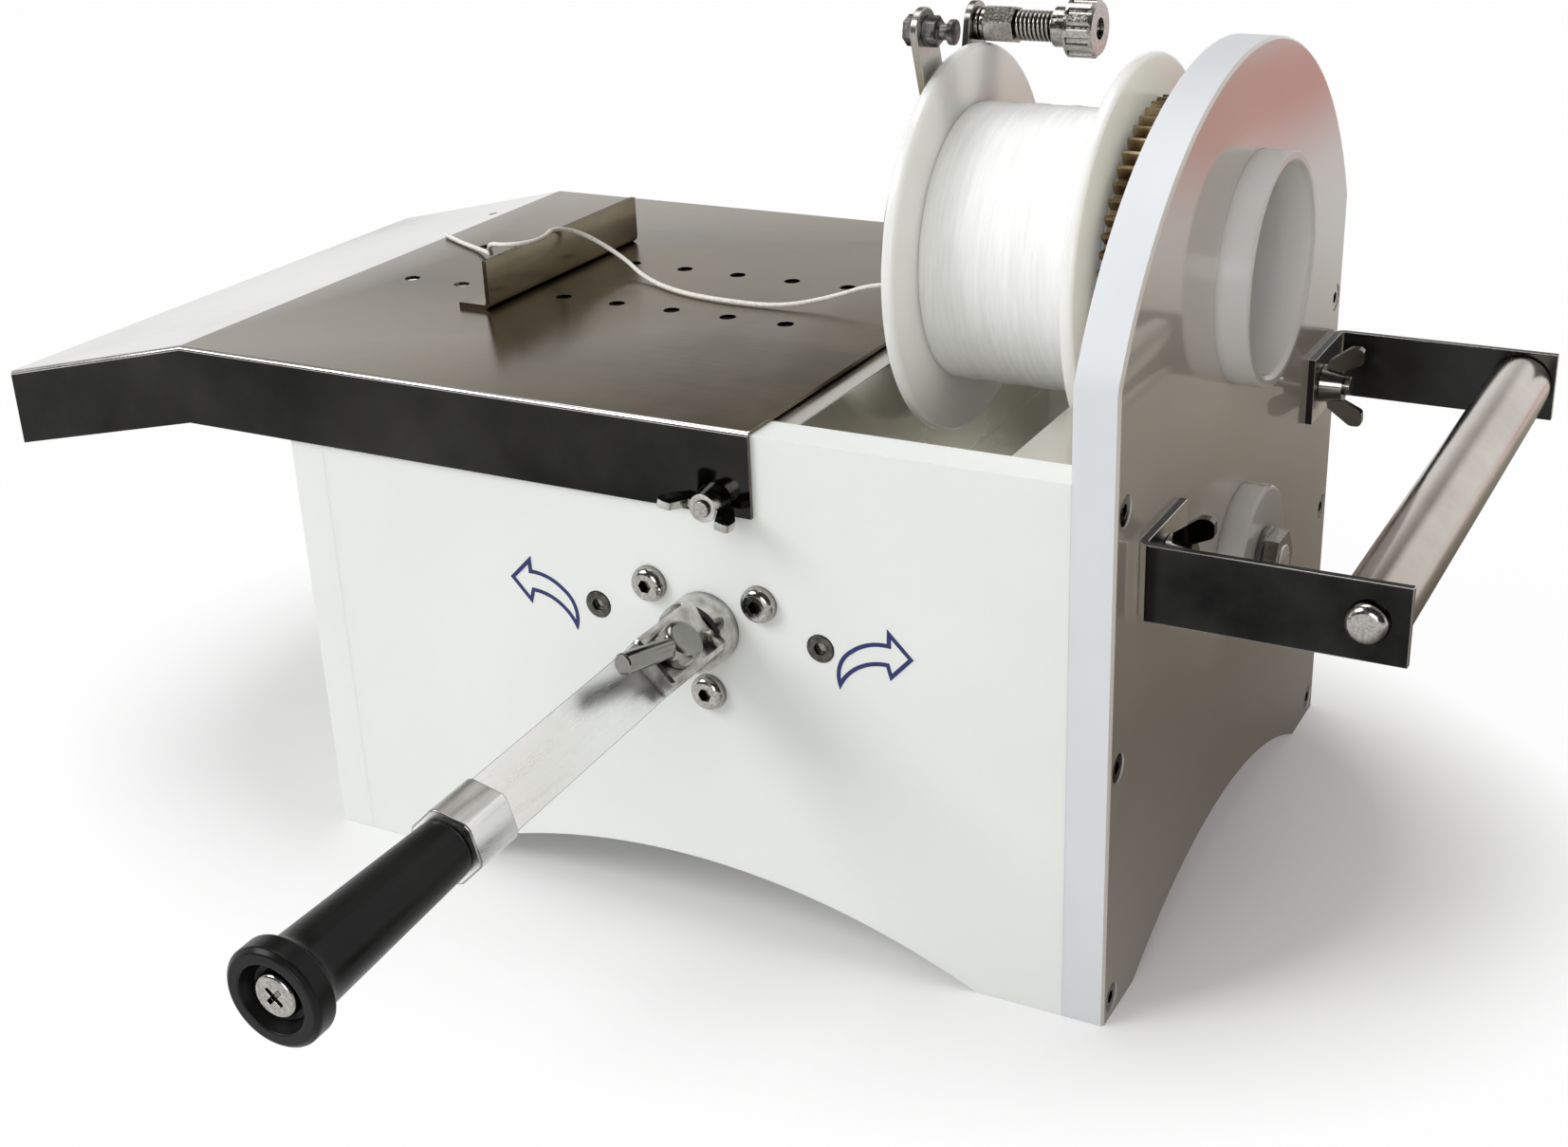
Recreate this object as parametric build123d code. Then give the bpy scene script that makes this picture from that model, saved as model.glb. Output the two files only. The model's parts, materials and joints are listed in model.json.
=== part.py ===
from build123d import *
from math import acos, atan, cos, hypot, pi, radians, sin, sqrt, tan
import os

# Hand-lever sausage tying machine. All sizes are millimetres in the machine's own axes:
# x = 0 is the outer face of the tall end plate and the body runs to -x, y = 0 is the outer
# face of the front plate and +y is the back, z = 0 is the floor. The last lines move every
# piece so that the middle of the overall box stands on the origin.

# Body plates
BODY_L = 350.0
BODY_W = 275.0
BODY_H = 209.0
PLATE_T = 16.0
MID_Y = BODY_W / 2
FOOT = (34.0, 31.5)
FRONT_ARCH = (28.0, BODY_L / 2 - PLATE_T - FOOT[0])
END_ARCH = (25.5, MID_Y - FOOT[1])
CROWN_R = MID_Y + 15.5
CROWN_Z = BODY_H - 34.0
FIT = 0.05
GAP = 0.3

# Table
SHEET = 1.5
TABLE_Z = BODY_H + SHEET
BEND_X = -BODY_L - 52.0
WING_RUN = 102.0
WING_DROP = 23.3
APRON_H = 33.0
HOLE_PITCH = 27.0
HOLE_ROWS = (MID_Y - 22.0, MID_Y + 34.0)
HOLE_COLUMNS = 8
HOLE_FIRST_X = -BODY_L + 166.0
HANG_HOLE = (BEND_X - 12.0, BODY_W - 42.0)
STOP_X = -BODY_L + 40.0

# Spindle, spool and gears
LEVER_X = -158.5
SHAFT_Z = BODY_H - 78.5
SPUR_MODULE = 2.0
SPUR_TEETH = 58
SPINDLE_Z = SHAFT_Z + SPUR_MODULE * SPUR_TEETH
BEVEL_MODULE = 1.5
BEVEL_TEETH = (42, 14)
BEVEL_FACE = 10.0
BACKLASH = 0.24
TUBE_R = 43.0
PASSAGE_R = TUBE_R - 4.5
GEAR_X = (-PLATE_T - 22.0, -PLATE_T - 8.2)
SPOOL_X = (GEAR_X[0] - 77.0, GEAR_X[0] - 3.0)
TUBE_ENDS = (SPOOL_X[0] - 11.0, 12.0)
TABLE_RIGHT = TUBE_ENDS[0] - 10.0
SPOOL_R = 75.0
THREAD_R = 54.0
FLANGE_T = 5.0
CROSS_R = 8.0

# Lever
SWING_REST = -45.0
FOLD_REST = 2.0
PIVOT_Y = -37.0
BAR_T = 8.0
BAR_W = 22.0
BAR_LEN = 107.0
NUT_LEN = 21.0
GRIP_LEN = 83.0
LEVER_LEN = BAR_LEN + NUT_LEN + GRIP_LEN

# Rest bar at the outlet end
ARM_LEN = 91.6
ARM_Z = (BODY_H - 54.2, BODY_H - 26.0)
ARM_NEAR_Y = 19.3
ARM_FAR_Y = BODY_W - 1.2
ARM_T = 3.0
ARM_FOOT = 45.0
ROLLER_X = 78.0
ROLLER_R = 12.5
ARM_NUT_Y = (44.0, BODY_W - 32.0)

# Wing nuts: half span for the 6 mm and the 8 mm thread, and their height
WING_SPAN = (15.0, 18.0)
WING_H = 16.8
TABLE_STUD = (TABLE_RIGHT - 14.5, BODY_H - 26.0)

# Twine: its section and the route of its centre line, from the stop's face along the table,
# from the middle across it and from the table's top upwards
TWINE_R = 1.0
TWINE = [
    (-92.0, 41.5, 1.2), (-76.0, 32.0, 1.2), (-58.0, 24.0, 1.4),
    (-40.0, 7.5, 5.0), (-25.0, -14.5, 14.9), (-13.0, -29.0, 22.1),
    (-3.5, -33.0, 23.4), (4.5, -28.0, 23.5), (6.0, -15.5, 23.1),
    (0.5, -0.5, 23.3), (5.5, 14.0, 18.0), (21.0, 21.5, 6.5),
    (38.0, 11.5, 1.4), (62.0, -1.5, 1.2), (88.0, -6.0, 1.2),
    (114.0, -5.0, 1.2), (132.0, 4.5, 4.0), (154.0, 13.0, 11.5),
    (179.0, 20.5, 9.5),
]


def block(x, y, z):
    """Box between two limits on each axis."""
    size = Box(x[1] - x[0], y[1] - y[0], z[1] - z[0])
    return Pos((x[0] + x[1]) / 2, (y[0] + y[1]) / 2, (z[0] + z[1]) / 2) * size


FACE_X = Rot(0, 0, 90) * Rot(90, 0, 0)


def rod_x(x0, x1, y, z, r):
    bar = Cylinder(r, x1 - x0, align=(Align.CENTER, Align.CENTER, Align.MIN))
    return Pos(x0, y, z) * Rot(0, 90, 0) * bar


def rod_y(y0, y1, x, z, r):
    bar = Cylinder(r, y1 - y0, align=(Align.CENTER, Align.CENTER, Align.MIN))
    return Pos(x, y0, z) * Rot(-90, 0, 0) * bar


def rod_z(z0, z1, x, y, r):
    bar = Cylinder(r, z1 - z0, align=(Align.CENTER, Align.CENTER, Align.MIN))
    return Pos(x, y, z0) * bar


def ring_x(x0, x1, y, z, r_out, r_in):
    return rod_x(x0, x1, y, z, r_out) - rod_x(x0 - 1, x1 + 1, y, z, r_in)


def arched(width, height, arch):
    """Plate outline standing on two feet, drawn from its lower left corner."""
    rise, half = arch
    mid = width / 2
    with BuildLine() as line:
        Line((0, 0), (mid - half, 0))
        ThreePointArc((mid - half, 0), (mid, rise), (mid + half, 0))
        Line((mid + half, 0), (width, 0))
        Line((width, 0), (width, height))
        Line((width, height), (0, height))
        Line((0, height), (0, 0))
    return make_face(line.line)


def screw(head_r, head_h, shank_r, length, socket_r, dome=True):
    """Screw along +z with its head's seat at z = 0 and its shank going down."""
    head = Cylinder(head_r, head_h, align=(Align.CENTER, Align.CENTER, Align.MIN))
    if dome:
        head = fillet(head.edges().sort_by(Axis.Z)[-1], head_h * 0.72)
    head -= Pos(0, 0, head_h * 0.45) * extrude(RegularPolygon(socket_r, 6), head_h)
    shank = Pos(0, 0, -length) * Cylinder(
        shank_r, length + 0.2, align=(Align.CENTER, Align.CENTER, Align.MIN))
    return head + shank


def wing_nut(bore, span):
    """Wing nut along +z, seat at z = 0, wings in the xz plane."""
    hub = Cone(0.45 * span, 0.36 * span, 9.0, align=(Align.CENTER, Align.CENTER, Align.MIN))
    outline = Polyline((3, 1), (0.6 * span, 2.2), (span, 11.5), (span, WING_H),
                       (0.62 * span, WING_H), (0.4 * span, 8.8), (3, 8.8), close=True)
    wing = make_face(outline)
    wing = fillet(wing.vertices().filter_by(lambda v: v.Y > WING_H - 0.1), 0.14 * span)
    wing = fillet(wing.vertices().filter_by(lambda v: abs(v.Y - 11.5) < 0.1), 0.2 * span)
    wing = Rot(90, 0, 0) * extrude(wing, 1.5, both=True)
    wings = wing + Rot(0, 0, 180) * wing
    return hub + wings - Pos(0, 0, -1) * Cylinder(
        bore, 30, align=(Align.CENTER, Align.CENTER, Align.MIN))


def inv(angle):
    return tan(angle) - angle


def half_thickness(radius, pitch_r, module, backlash):
    """Half the tooth's width at a radius, for a 20 degree involute."""
    base = pitch_r * cos(radians(20))
    at = acos(min(1.0, base / radius))
    pitch_half = (pi * module / 4 - backlash / 2) / pitch_r
    return radius * (pitch_half + inv(radians(20)) - inv(at))


def spur_face(teeth, module, phase):
    """Toothed outline in a plane, with one tooth centred at the phase angle."""
    pitch_r = teeth * module / 2
    radii = (pitch_r - 1.25 * module, pitch_r, pitch_r + module)
    flank = [(r, half_thickness(r, pitch_r, module, BACKLASH) / r) for r in radii]
    points = []
    for i in range(teeth):
        centre = phase + 2 * pi * i / teeth
        for r, half in flank:
            points.append((r * cos(centre - half), r * sin(centre - half)))
        for r, half in reversed(flank):
            points.append((r * cos(centre + half), r * sin(centre + half)))
    return make_face(Polyline(*points, close=True))


def bevel_gear(teeth, mate, phase):
    """Straight bevel gear opening along +z, with its cones' tip at the origin."""
    cone = atan(teeth / mate)
    pitch_r = teeth * BEVEL_MODULE / 2
    slant = pitch_r / sin(cone)
    toe = 1 - BEVEL_FACE / slant
    virtual = pitch_r / cos(cone)
    heel = []
    for h in (-1.45, -1.2, 0.0, 0.95):
        height = h * BEVEL_MODULE
        half = half_thickness(virtual + max(height, -1.2 * BEVEL_MODULE), virtual,
                              BEVEL_MODULE, BACKLASH)
        rho = slant * sin(cone) + height * cos(cone)
        z = slant * cos(cone) - height * sin(cone)
        heel.append((rho, half, z))
    loop = [(rho, -half, z) for rho, half, z in heel]
    loop += [(rho, half, z) for rho, half, z in reversed(heel)]
    big = Face(Wire.make_polygon([Vector(*p) for p in loop], close=True))
    small = Face(Wire.make_polygon([Vector(*p) * toe for p in loop], close=True))
    tooth = loft([big, small], ruled=True)
    root = -1.3 * BEVEL_MODULE
    rim = (pitch_r + root * cos(cone), slant * cos(cone) - root * sin(cone))
    toe_rim = (rim[0] * toe, rim[1] * toe)
    return tooth, rim, toe_rim, [phase + 360 * i / teeth for i in range(teeth)]


def bevel_solid(teeth, mate, phase, back, hub_r, bore):
    """Toothed rim on a turned blank whose hub reaches to z = back."""
    tooth, rim, toe_rim, angles = bevel_gear(teeth, mate, phase)
    profile = make_face(Polyline(
        (bore, 0, toe_rim[1]), (toe_rim[0], 0, toe_rim[1]), (rim[0], 0, rim[1]),
        (rim[0] - 0.8, 0, rim[1] + 2.5), (hub_r, 0, rim[1] + 2.5), (hub_r, 0, back),
        (bore, 0, back), close=True))
    blank = revolve(profile, Axis.Z)
    return blank + [Rot(0, 0, a) * tooth for a in angles]


def tilt(shape):
    """Lever frame to rest pose: lever along -y, fold hinge along x, up along z."""
    return shape.rotate(Axis.X, FOLD_REST).rotate(Axis.Y, SWING_REST)


def at_pivot(shape, folded):
    turned = tilt(shape) if folded else shape.rotate(Axis.Y, SWING_REST)
    return Pos(LEVER_X, PIVOT_Y, SHAFT_Z) * turned


def around_spindle(shape):
    return Pos(0, MID_Y, SPINDLE_Z) * shape


# The four body plates

FLANGE_PCD = 54.0
FLANGE_ANGLES = (150, 30, -90)
FRAME_SCREW_X = 47.7
BRACKET_SINK = 3.0
EDGE_SCREW_Z = (8.0, BODY_H / 2 - 1.5, BODY_H - 10.0)
HOUSING_R = 10.5


def flange_spots():
    return [(LEVER_X + FLANGE_PCD / 2 * cos(radians(a)), SHAFT_Z + FLANGE_PCD / 2 * sin(radians(a)))
            for a in FLANGE_ANGLES]


def frame_spots():
    return [(LEVER_X - FRAME_SCREW_X, SHAFT_Z), (LEVER_X + FRAME_SCREW_X, SHAFT_Z)]


def side_plate(y0):
    face = arched(BODY_L - 2 * PLATE_T, BODY_H, (FRONT_ARCH[0], FRONT_ARCH[1]))
    plate = Rot(90, 0, 0) * extrude(face, PLATE_T)
    plate = Pos(-BODY_L + PLATE_T, y0 + PLATE_T, 0) * plate
    plate -= rod_y(y0 - 1, y0 + PLATE_T + 1, *TABLE_STUD, 3.0)
    for x in (-BODY_L + PLATE_T, -PLATE_T):
        for z in EDGE_SCREW_Z:
            inward = 24.0 if x < -BODY_L / 2 else -24.0
            plate -= rod_x(min(x, x + inward), max(x, x + inward), y0 + PLATE_T / 2, z, 3.0)
    return plate


def front_plate():
    plate = side_plate(0)
    plate -= rod_y(-1, PLATE_T + 1, LEVER_X, SHAFT_Z, HOUSING_R)
    for x, z in flange_spots():
        plate -= rod_y(-1, PLATE_T + 1, x, z, 4.0)
    for x, z in frame_spots():
        plate -= rod_y(-1, PLATE_T + 1, x, z, 3.0)
        plate -= rod_y(-1, BRACKET_SINK, x, z, 5.6)
    return plate


def edge_screw_cuts(plate, outer_x, inward):
    """Counterbores and shank holes for the screws into both side plates' ends."""
    for y in (PLATE_T / 2, BODY_W - PLATE_T / 2):
        for z in EDGE_SCREW_Z:
            inner = outer_x + inward * PLATE_T
            bore = outer_x + inward * 3.6
            plate -= rod_x(min(outer_x - inward, inner + inward), max(outer_x - inward, inner + inward), y, z, 3.0)
            plate -= rod_x(min(outer_x - inward, bore), max(outer_x - inward, bore), y, z, 5.6)
    return plate


def left_plate():
    face = arched(BODY_W, BODY_H, END_ARCH)
    plate = FACE_X * extrude(face, PLATE_T)
    plate = Pos(-BODY_L, 0, 0) * plate
    return edge_screw_cuts(plate, -BODY_L, 1)


def end_plate():
    """Tall plate at the outlet end: straight sides under a wide round crown."""
    rise, half = END_ARCH
    shoulder = CROWN_Z + sqrt(CROWN_R ** 2 - MID_Y ** 2)
    with BuildLine() as line:
        Line((0, 0), (MID_Y - half, 0))
        ThreePointArc((MID_Y - half, 0), (MID_Y, rise), (MID_Y + half, 0))
        Line((MID_Y + half, 0), (BODY_W, 0))
        Line((BODY_W, 0), (BODY_W, shoulder))
        ThreePointArc((BODY_W, shoulder), (MID_Y, CROWN_Z + CROWN_R), (0, shoulder))
        Line((0, shoulder), (0, 0))
    plate = FACE_X * extrude(make_face(line.line), PLATE_T)
    plate = Pos(-PLATE_T, 0, 0) * plate
    plate = chamfer(plate.edges().group_by(Axis.X)[-1].filter_by(
        lambda e: e.center().Z > END_ARCH[0] + 2), 1.0)
    plate -= rod_x(-PLATE_T - 1, 1, MID_Y, SPINDLE_Z, TUBE_R + FIT)
    plate -= rod_x(-PLATE_T - 1, 1, MID_Y, SHAFT_Z, BOSS_SPIGOT_R)
    for y in ARM_NUT_Y:
        plate -= rod_x(-PLATE_T - 1, 1, y, sum(ARM_Z) / 2, 4.0)
    for y, z in keeper_spots():
        plate -= rod_x(-PLATE_T - 1, -PLATE_T + 9, y, z, 2.5)
    return edge_screw_cuts(plate, 0.0, -1)


def edge_screws(outer_x, inward):
    """Socket screws sunk in the end plates, running into the side plates."""
    cap = screw(5.4, 3.2, 3.0, 32.0, 2.6, dome=False)
    group = []
    for y in (PLATE_T / 2, BODY_W - PLATE_T / 2):
        for z in EDGE_SCREW_Z:
            group.append(Pos(outer_x + inward * 3.6, y, z) * Rot(0, -90 * inward, 0) * cap)
    return Compound(children=group)


# Lever bearing behind the front plate, and the bracket around the bevel gears

BEARING_END = MID_Y - 39.5
BRACKET_X = 6.0
BRACKET_Z = (SHAFT_Z - 24.5, SHAFT_Z + 14.0)
BRACKET_BACK = MID_Y + 34.5


def lever_bearing():
    body = rod_y(PLATE_T, PLATE_T + 10, LEVER_X, SHAFT_Z, 33.5)
    body += rod_y(PLATE_T + 9, BEARING_END, LEVER_X, SHAFT_Z, 20.0)
    body -= rod_y(PLATE_T - 1, BEARING_END + 1, LEVER_X, SHAFT_Z, 10.0 + FIT)
    for x, z in flange_spots():
        body -= rod_y(PLATE_T - 1, PLATE_T + 11, x, z, 4.0)
    return body


def flange_screws():
    one = screw(7.1, 4.4, 4.0, 26.0, 2.8)
    return Compound(children=[Pos(x, 0, z) * Rot(90, 0, 0) * one for x, z in flange_spots()])


def bracket_screws():
    one = screw(5.2, 3.4, 3.0, 34.0, 2.7, dome=False)
    return Compound(children=[Pos(x, BRACKET_SINK, z) * Rot(90, 0, 0) * one for x, z in frame_spots()])


def gear_bracket():
    """U-shaped bracket: its right leg carries the cross shaft's inner bearing."""
    left, right = [x for x, z in frame_spots()]
    bracket = block((left - BRACKET_X, left + BRACKET_X), (PLATE_T, BRACKET_BACK), BRACKET_Z)
    bracket += block((right - BRACKET_X, right + BRACKET_X), (PLATE_T, BRACKET_BACK), BRACKET_Z)
    bracket += block((left, right), (BRACKET_BACK - 10, BRACKET_BACK), BRACKET_Z)
    bracket -= rod_x(right - 7, right + 7, MID_Y, SHAFT_Z, CROSS_R + FIT)
    for x, z in frame_spots():
        bracket -= rod_y(PLATE_T - 1, 37.0, x, z, 3.0)
    return bracket


# Table, stop and deck

def folded(offset, depth, y, x):
    """Solid from the table's folded line, lowered by an offset, down to a depth under it."""
    lean = WING_DROP / WING_RUN
    drop = (BEND_X - x[0]) * lean
    top = TABLE_Z - offset
    low = TABLE_Z - depth
    points = [(x[0], top - drop), (BEND_X, top), (x[1], top), (x[1], low), (BEND_X, low),
              (x[0], low - drop)]
    outline = make_face(Polyline(*points, close=True))
    return Pos(0, y[1], 0) * Rot(90, 0, 0) * extrude(outline, y[1] - y[0])


def table():
    """Folded sheet with a turned-down apron on both long sides."""
    x = (BEND_X - WING_RUN, TABLE_RIGHT)
    sheet = folded(0, APRON_H, (-GAP - SHEET, BODY_W + GAP + SHEET), x)
    sheet -= folded(SHEET, APRON_H + 9, (-GAP, BODY_W + GAP), (x[0] - 5, x[1] + 5))
    for i in range(HOLE_COLUMNS):
        for y in HOLE_ROWS:
            sheet -= rod_z(TABLE_Z - 5, TABLE_Z + 5, HOLE_FIRST_X - i * HOLE_PITCH, y, 3.5)
    sheet -= rod_z(TABLE_Z - 9, TABLE_Z + 5, *HANG_HOLE, 2.2)
    sheet -= rod_y(-9, BODY_W + 9, *TABLE_STUD, 3.3)
    return sheet


def table_studs():
    x, z = TABLE_STUD
    near = rod_y(-12.5, PLATE_T, x, z, 3.0)
    far = rod_y(BODY_W - PLATE_T, BODY_W + 12.5, x, z, 3.0)
    return Compound(children=[near, far])


STOP_Y = (MID_Y - 50.5, MID_Y + 66.5)
STOP_H = 21.0
STOP_T = 2.0
STOP_HOLE_X = HOLE_FIRST_X - 5 * HOLE_PITCH


def stop():
    top = TABLE_Z + STOP_H
    face = block((STOP_X - STOP_T, STOP_X), STOP_Y, (TABLE_Z, top))
    face += block((STOP_X - 16, STOP_X), STOP_Y, (TABLE_Z, TABLE_Z + STOP_T))
    for y in HOLE_ROWS:
        face -= rod_z(TABLE_Z - 1, TABLE_Z + STOP_T + 1, STOP_HOLE_X, y, 2.6)
    return face


def stop_screws():
    """Button screws through the stop's foot, each with a square nut under the sheet."""
    one = screw(4.6, 2.6, 2.5, 9.0, 1.8)
    nut = Pos(0, 0, -STOP_T - SHEET - 4) * (Box(9, 9, 4, align=(Align.CENTER, Align.CENTER, Align.MIN)))
    washer = Cylinder(3.4, SHEET, align=(Align.CENTER, Align.CENTER, Align.MIN))
    one = one + nut + Pos(0, 0, -STOP_T - SHEET) * washer
    return Compound(children=[Pos(STOP_HOLE_X, y, TABLE_Z + STOP_T) * one for y in HOLE_ROWS])


DECK_EDGE = TUBE_ENDS[0]
DECK_LEFT = DECK_EDGE - 24.0
DECK_SEAM = GEAR_X[0] - 7.0
WELL_X = GEAR_X[0] - 22.0
WELL_Z = BODY_H - 62.0


def deck():
    """Folded sheet with a well that the winding head turns in."""
    z = BODY_H - 1
    upper = [(DECK_LEFT, z), (DECK_EDGE, z), (DECK_EDGE, WELL_Z), (WELL_X, WELL_Z), (DECK_SEAM, z),
             (-PLATE_T, z)]
    lean = atan((z - WELL_Z) / (DECK_SEAM - WELL_X))
    shift = SHEET * tan(lean / 2)
    lower = [(-PLATE_T, z - SHEET), (DECK_SEAM + shift, z - SHEET),
             (WELL_X + shift, WELL_Z - SHEET), (DECK_EDGE - SHEET, WELL_Z - SHEET),
             (DECK_EDGE - SHEET, z - SHEET), (DECK_LEFT, z - SHEET)]
    face = make_face(Polyline(*(upper + lower), close=True))
    width = BODY_W - 2 * PLATE_T
    sheet = Pos(0, PLATE_T + width, 0) * Rot(90, 0, 0) * extrude(face, width)
    gear_gap = (DECK_SEAM - 8, 0), (MID_Y - 66, MID_Y + 66), (SHAFT_Z, BODY_H)
    sheet -= block(*gear_gap)
    return sheet


def cross_rail():
    """Square rail between the side plates, under the joint of table and deck."""
    return block((DECK_LEFT, DECK_EDGE - SHEET - 0.5), (PLATE_T, BODY_W - PLATE_T),
                 (BODY_H - 25, BODY_H - 1 - SHEET))


# Rotating tube in the end plate, with its gear, keeper and flyer

SHOULDER = (-PLATE_T - 3.4, -PLATE_T - FIT, TUBE_R + 8.0)
KEEPER_R = TUBE_R + 19.0
KEEPER_PCD_R = TUBE_R + 13.5
KEEPER_X = -PLATE_T - 7.6
KEEPER_SINK_X = -PLATE_T - 5.5
HUB_X = (TUBE_ENDS[0], TUBE_ENDS[0] + 7.0)
FLYER_T = 3.0
FLYER_X = HUB_X[1] + FLYER_T
EYELET = (90.0, -19.4)
TENSION = (82.0, 12.4)


def keeper_spots():
    return [(MID_Y + KEEPER_PCD_R * cos(radians(a)), SPINDLE_Z + KEEPER_PCD_R * sin(radians(a)))
            for a in (45, 135, 225, 315)]


def spindle_tube():
    tube = rod_x(*TUBE_ENDS, 0, 0, TUBE_R) + rod_x(SHOULDER[0], SHOULDER[1], 0, 0, SHOULDER[2])
    tube -= rod_x(TUBE_ENDS[0] - 1, TUBE_ENDS[1] + 1, 0, 0, PASSAGE_R)
    ends = tube.edges().filter_by(GeomType.CIRCLE).filter_by(lambda e: abs(e.radius - PASSAGE_R) < 0.1)
    return around_spindle(chamfer(ends, 1.5))


def keeper_ring():
    ring = ring_x(KEEPER_X, -PLATE_T, MID_Y, SPINDLE_Z, KEEPER_R, TUBE_R + 0.6)
    ring -= rod_x(SHOULDER[0] - 0.6, -PLATE_T + 1, MID_Y, SPINDLE_Z, SHOULDER[2] + GAP)
    for y, z in keeper_spots():
        ring -= rod_x(KEEPER_X - 1, -PLATE_T + 1, y, z, 2.5)
        ring -= rod_x(KEEPER_X - 1, KEEPER_SINK_X, y, z, 4.4)
    return ring


def keeper_screws():
    one = screw(4.2, 2.3, 2.5, 14.0, 2.1, dome=False)
    return Compound(children=[Pos(KEEPER_SINK_X, y, z) * Rot(0, -90, 0) * one
                              for y, z in keeper_spots()])


def spindle_gear():
    """58-tooth gear on the tube, one tooth pointing straight down."""
    face = spur_face(SPUR_TEETH, SPUR_MODULE, -pi / 2)
    gear = FACE_X * extrude(face, GEAR_X[1] - GEAR_X[0])
    gear = Pos(GEAR_X[0], 0, 0) * gear - rod_x(GEAR_X[0] - 1, 0, 0, 0, TUBE_R)
    return around_spindle(gear)


def on_flyer(polar, shape):
    """Part built about the x axis, moved out to the tip of one of the flyer's arms."""
    return Rot(-polar[1], 0, 0) * Pos(0, 0, polar[0]) * shape


def flyer():
    """Flat ring with two arms that carry the eyelet and the tension stud."""
    plate = rod_x(HUB_X[1], FLYER_X, 0, 0, TUBE_R + 10.0)
    for polar in (EYELET, TENSION):
        arm = block((HUB_X[1], FLYER_X), (-8.5, 8.5), (TUBE_R + 2 - polar[0], 0))
        plate += on_flyer(polar, arm + rod_x(HUB_X[1], FLYER_X, 0, 0, 8.5))
    plate -= rod_x(TUBE_ENDS[0], SPOOL_X[1], 0, 0, TUBE_R)
    for polar, r in ((EYELET, 3.0), (TENSION, 4.0)):
        plate -= on_flyer(polar, rod_x(HUB_X[0], FLYER_X + 9, 0, 0, r))
    return around_spindle(plate)


def flyer_hub():
    """Clamp collar with two radial holes for its set screws."""
    hub = rod_x(*HUB_X, 0, 0, TUBE_R + 9.0)
    hub = chamfer(hub.edges().group_by(Axis.X)[0], 0.8)
    hub -= rod_x(HUB_X[0] - 1, HUB_X[1] + 1, 0, 0, TUBE_R)
    for a in (0, 180):
        hub -= Rot(a, 0, 0) * rod_z(TUBE_R + 4.5, TUBE_R + 17, (HUB_X[0] + HUB_X[1]) / 2, 0, 2.5)
    return around_spindle(hub)


def hex_x(x0, x1, flats):
    face = RegularPolygon(flats / 2, 6, major_radius=False)
    nut = FACE_X * extrude(face, x1 - x0)
    return Pos(x0, 0, 0) * nut


def eyelet_bolt():
    """Bolt through the flyer's arm with a nut each side and a round eye at its tip."""
    bolt = rod_x(HUB_X[1] - 5.5, FLYER_X + 11.5, 0, 0, 3.0)
    bolt += hex_x(HUB_X[1] - 4.5, HUB_X[1], 10.0) + hex_x(FLYER_X, FLYER_X + 5.0, 10.0)
    bolt += rod_x(FLYER_X + 9.5, FLYER_X + 11.5, 0, 0, 4.6)
    return around_spindle(on_flyer(EYELET, bolt))


# Tension unit on its stud, from the flyer's face: discs, nut, spring and thumb nut
DISCS_X = (FLYER_X, FLYER_X + 4.0)
TENSION_NUT_X = (DISCS_X[1], DISCS_X[1] + 12.0)
SPRING_X = (TENSION_NUT_X[1], TENSION_NUT_X[1] + 16.0)
THUMB_X = (SPRING_X[1], SPRING_X[1] + 6.0, SPRING_X[1] + 17.0)


def tension_stud():
    return around_spindle(on_flyer(TENSION, rod_x(HUB_X[1], THUMB_X[2] - 1.5, 0, 0, 4.0)))


def tension_nut():
    nut = hex_x(*TENSION_NUT_X, 13.0) - rod_x(DISCS_X[0], SPRING_X[1], 0, 0, 4.0)
    return around_spindle(on_flyer(TENSION, nut))


def tension_discs():
    """Pair of dished discs that the twine is drawn between."""
    x = DISCS_X[0]
    profile = make_face(Polyline((x, 4.0), (x, 6.3), (x + 1.6, 6.3), (x + 2.0, 5.2),
                                 (x + 2.4, 6.3), (DISCS_X[1], 6.3), (DISCS_X[1], 4.0),
                                 close=True))
    return around_spindle(on_flyer(TENSION, revolve(profile, Axis.X)))


def tension_spring():
    """Plain sleeve in the coil spring's place."""
    return around_spindle(on_flyer(TENSION, ring_x(*SPRING_X, 0, 0, 5.9, 4.6)))


def thumb_nut():
    """Fluted thumb nut on the tension stud."""
    body = rod_x(THUMB_X[0], THUMB_X[1], 0, 0, 7.5) + rod_x(THUMB_X[1], THUMB_X[2], 0, 0, 11.0)
    body = chamfer(body.edges().group_by(Axis.X)[-1], 1.4)
    body -= rod_x(THUMB_X[0] - 1, THUMB_X[2] + 1, 0, 0, 4.0 + FIT)
    for i in range(12):
        body -= Rot(30 * i, 0, 0) * rod_x(THUMB_X[1] + 1, THUMB_X[2] + 1, 0, 12.4, 2.2)
    return around_spindle(on_flyer(TENSION, body))


def spool_washer():
    return ring_x(SPOOL_X[1] + 0.2, GEAR_X[0] - 0.2, MID_Y, SPINDLE_Z, 50.0, TUBE_R + FIT)


CORE_R = TUBE_R + 4.0


def spool_core():
    """Sleeve that turns freely on the tube."""
    x0, x1 = SPOOL_X
    return ring_x(x0 + FLANGE_T, x1 - FLANGE_T, MID_Y, SPINDLE_Z, CORE_R, TUBE_R + FIT)


def spool_flange(x0):
    """Round flange with rounded rims, pressed against the sleeve's end."""
    disc = fillet(rod_x(x0, x0 + FLANGE_T, 0, 0, SPOOL_R).edges(), 1.6)
    return around_spindle(disc - rod_x(x0 - 1, x0 + FLANGE_T + 1, 0, 0, TUBE_R + FIT))


def wound_thread():
    x0, x1 = SPOOL_X
    return ring_x(x0 + FLANGE_T, x1 - FLANGE_T, MID_Y, SPINDLE_Z, THREAD_R, CORE_R)


# Cross shaft under the deck, from the bevel pair to the lower spur gear

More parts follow.
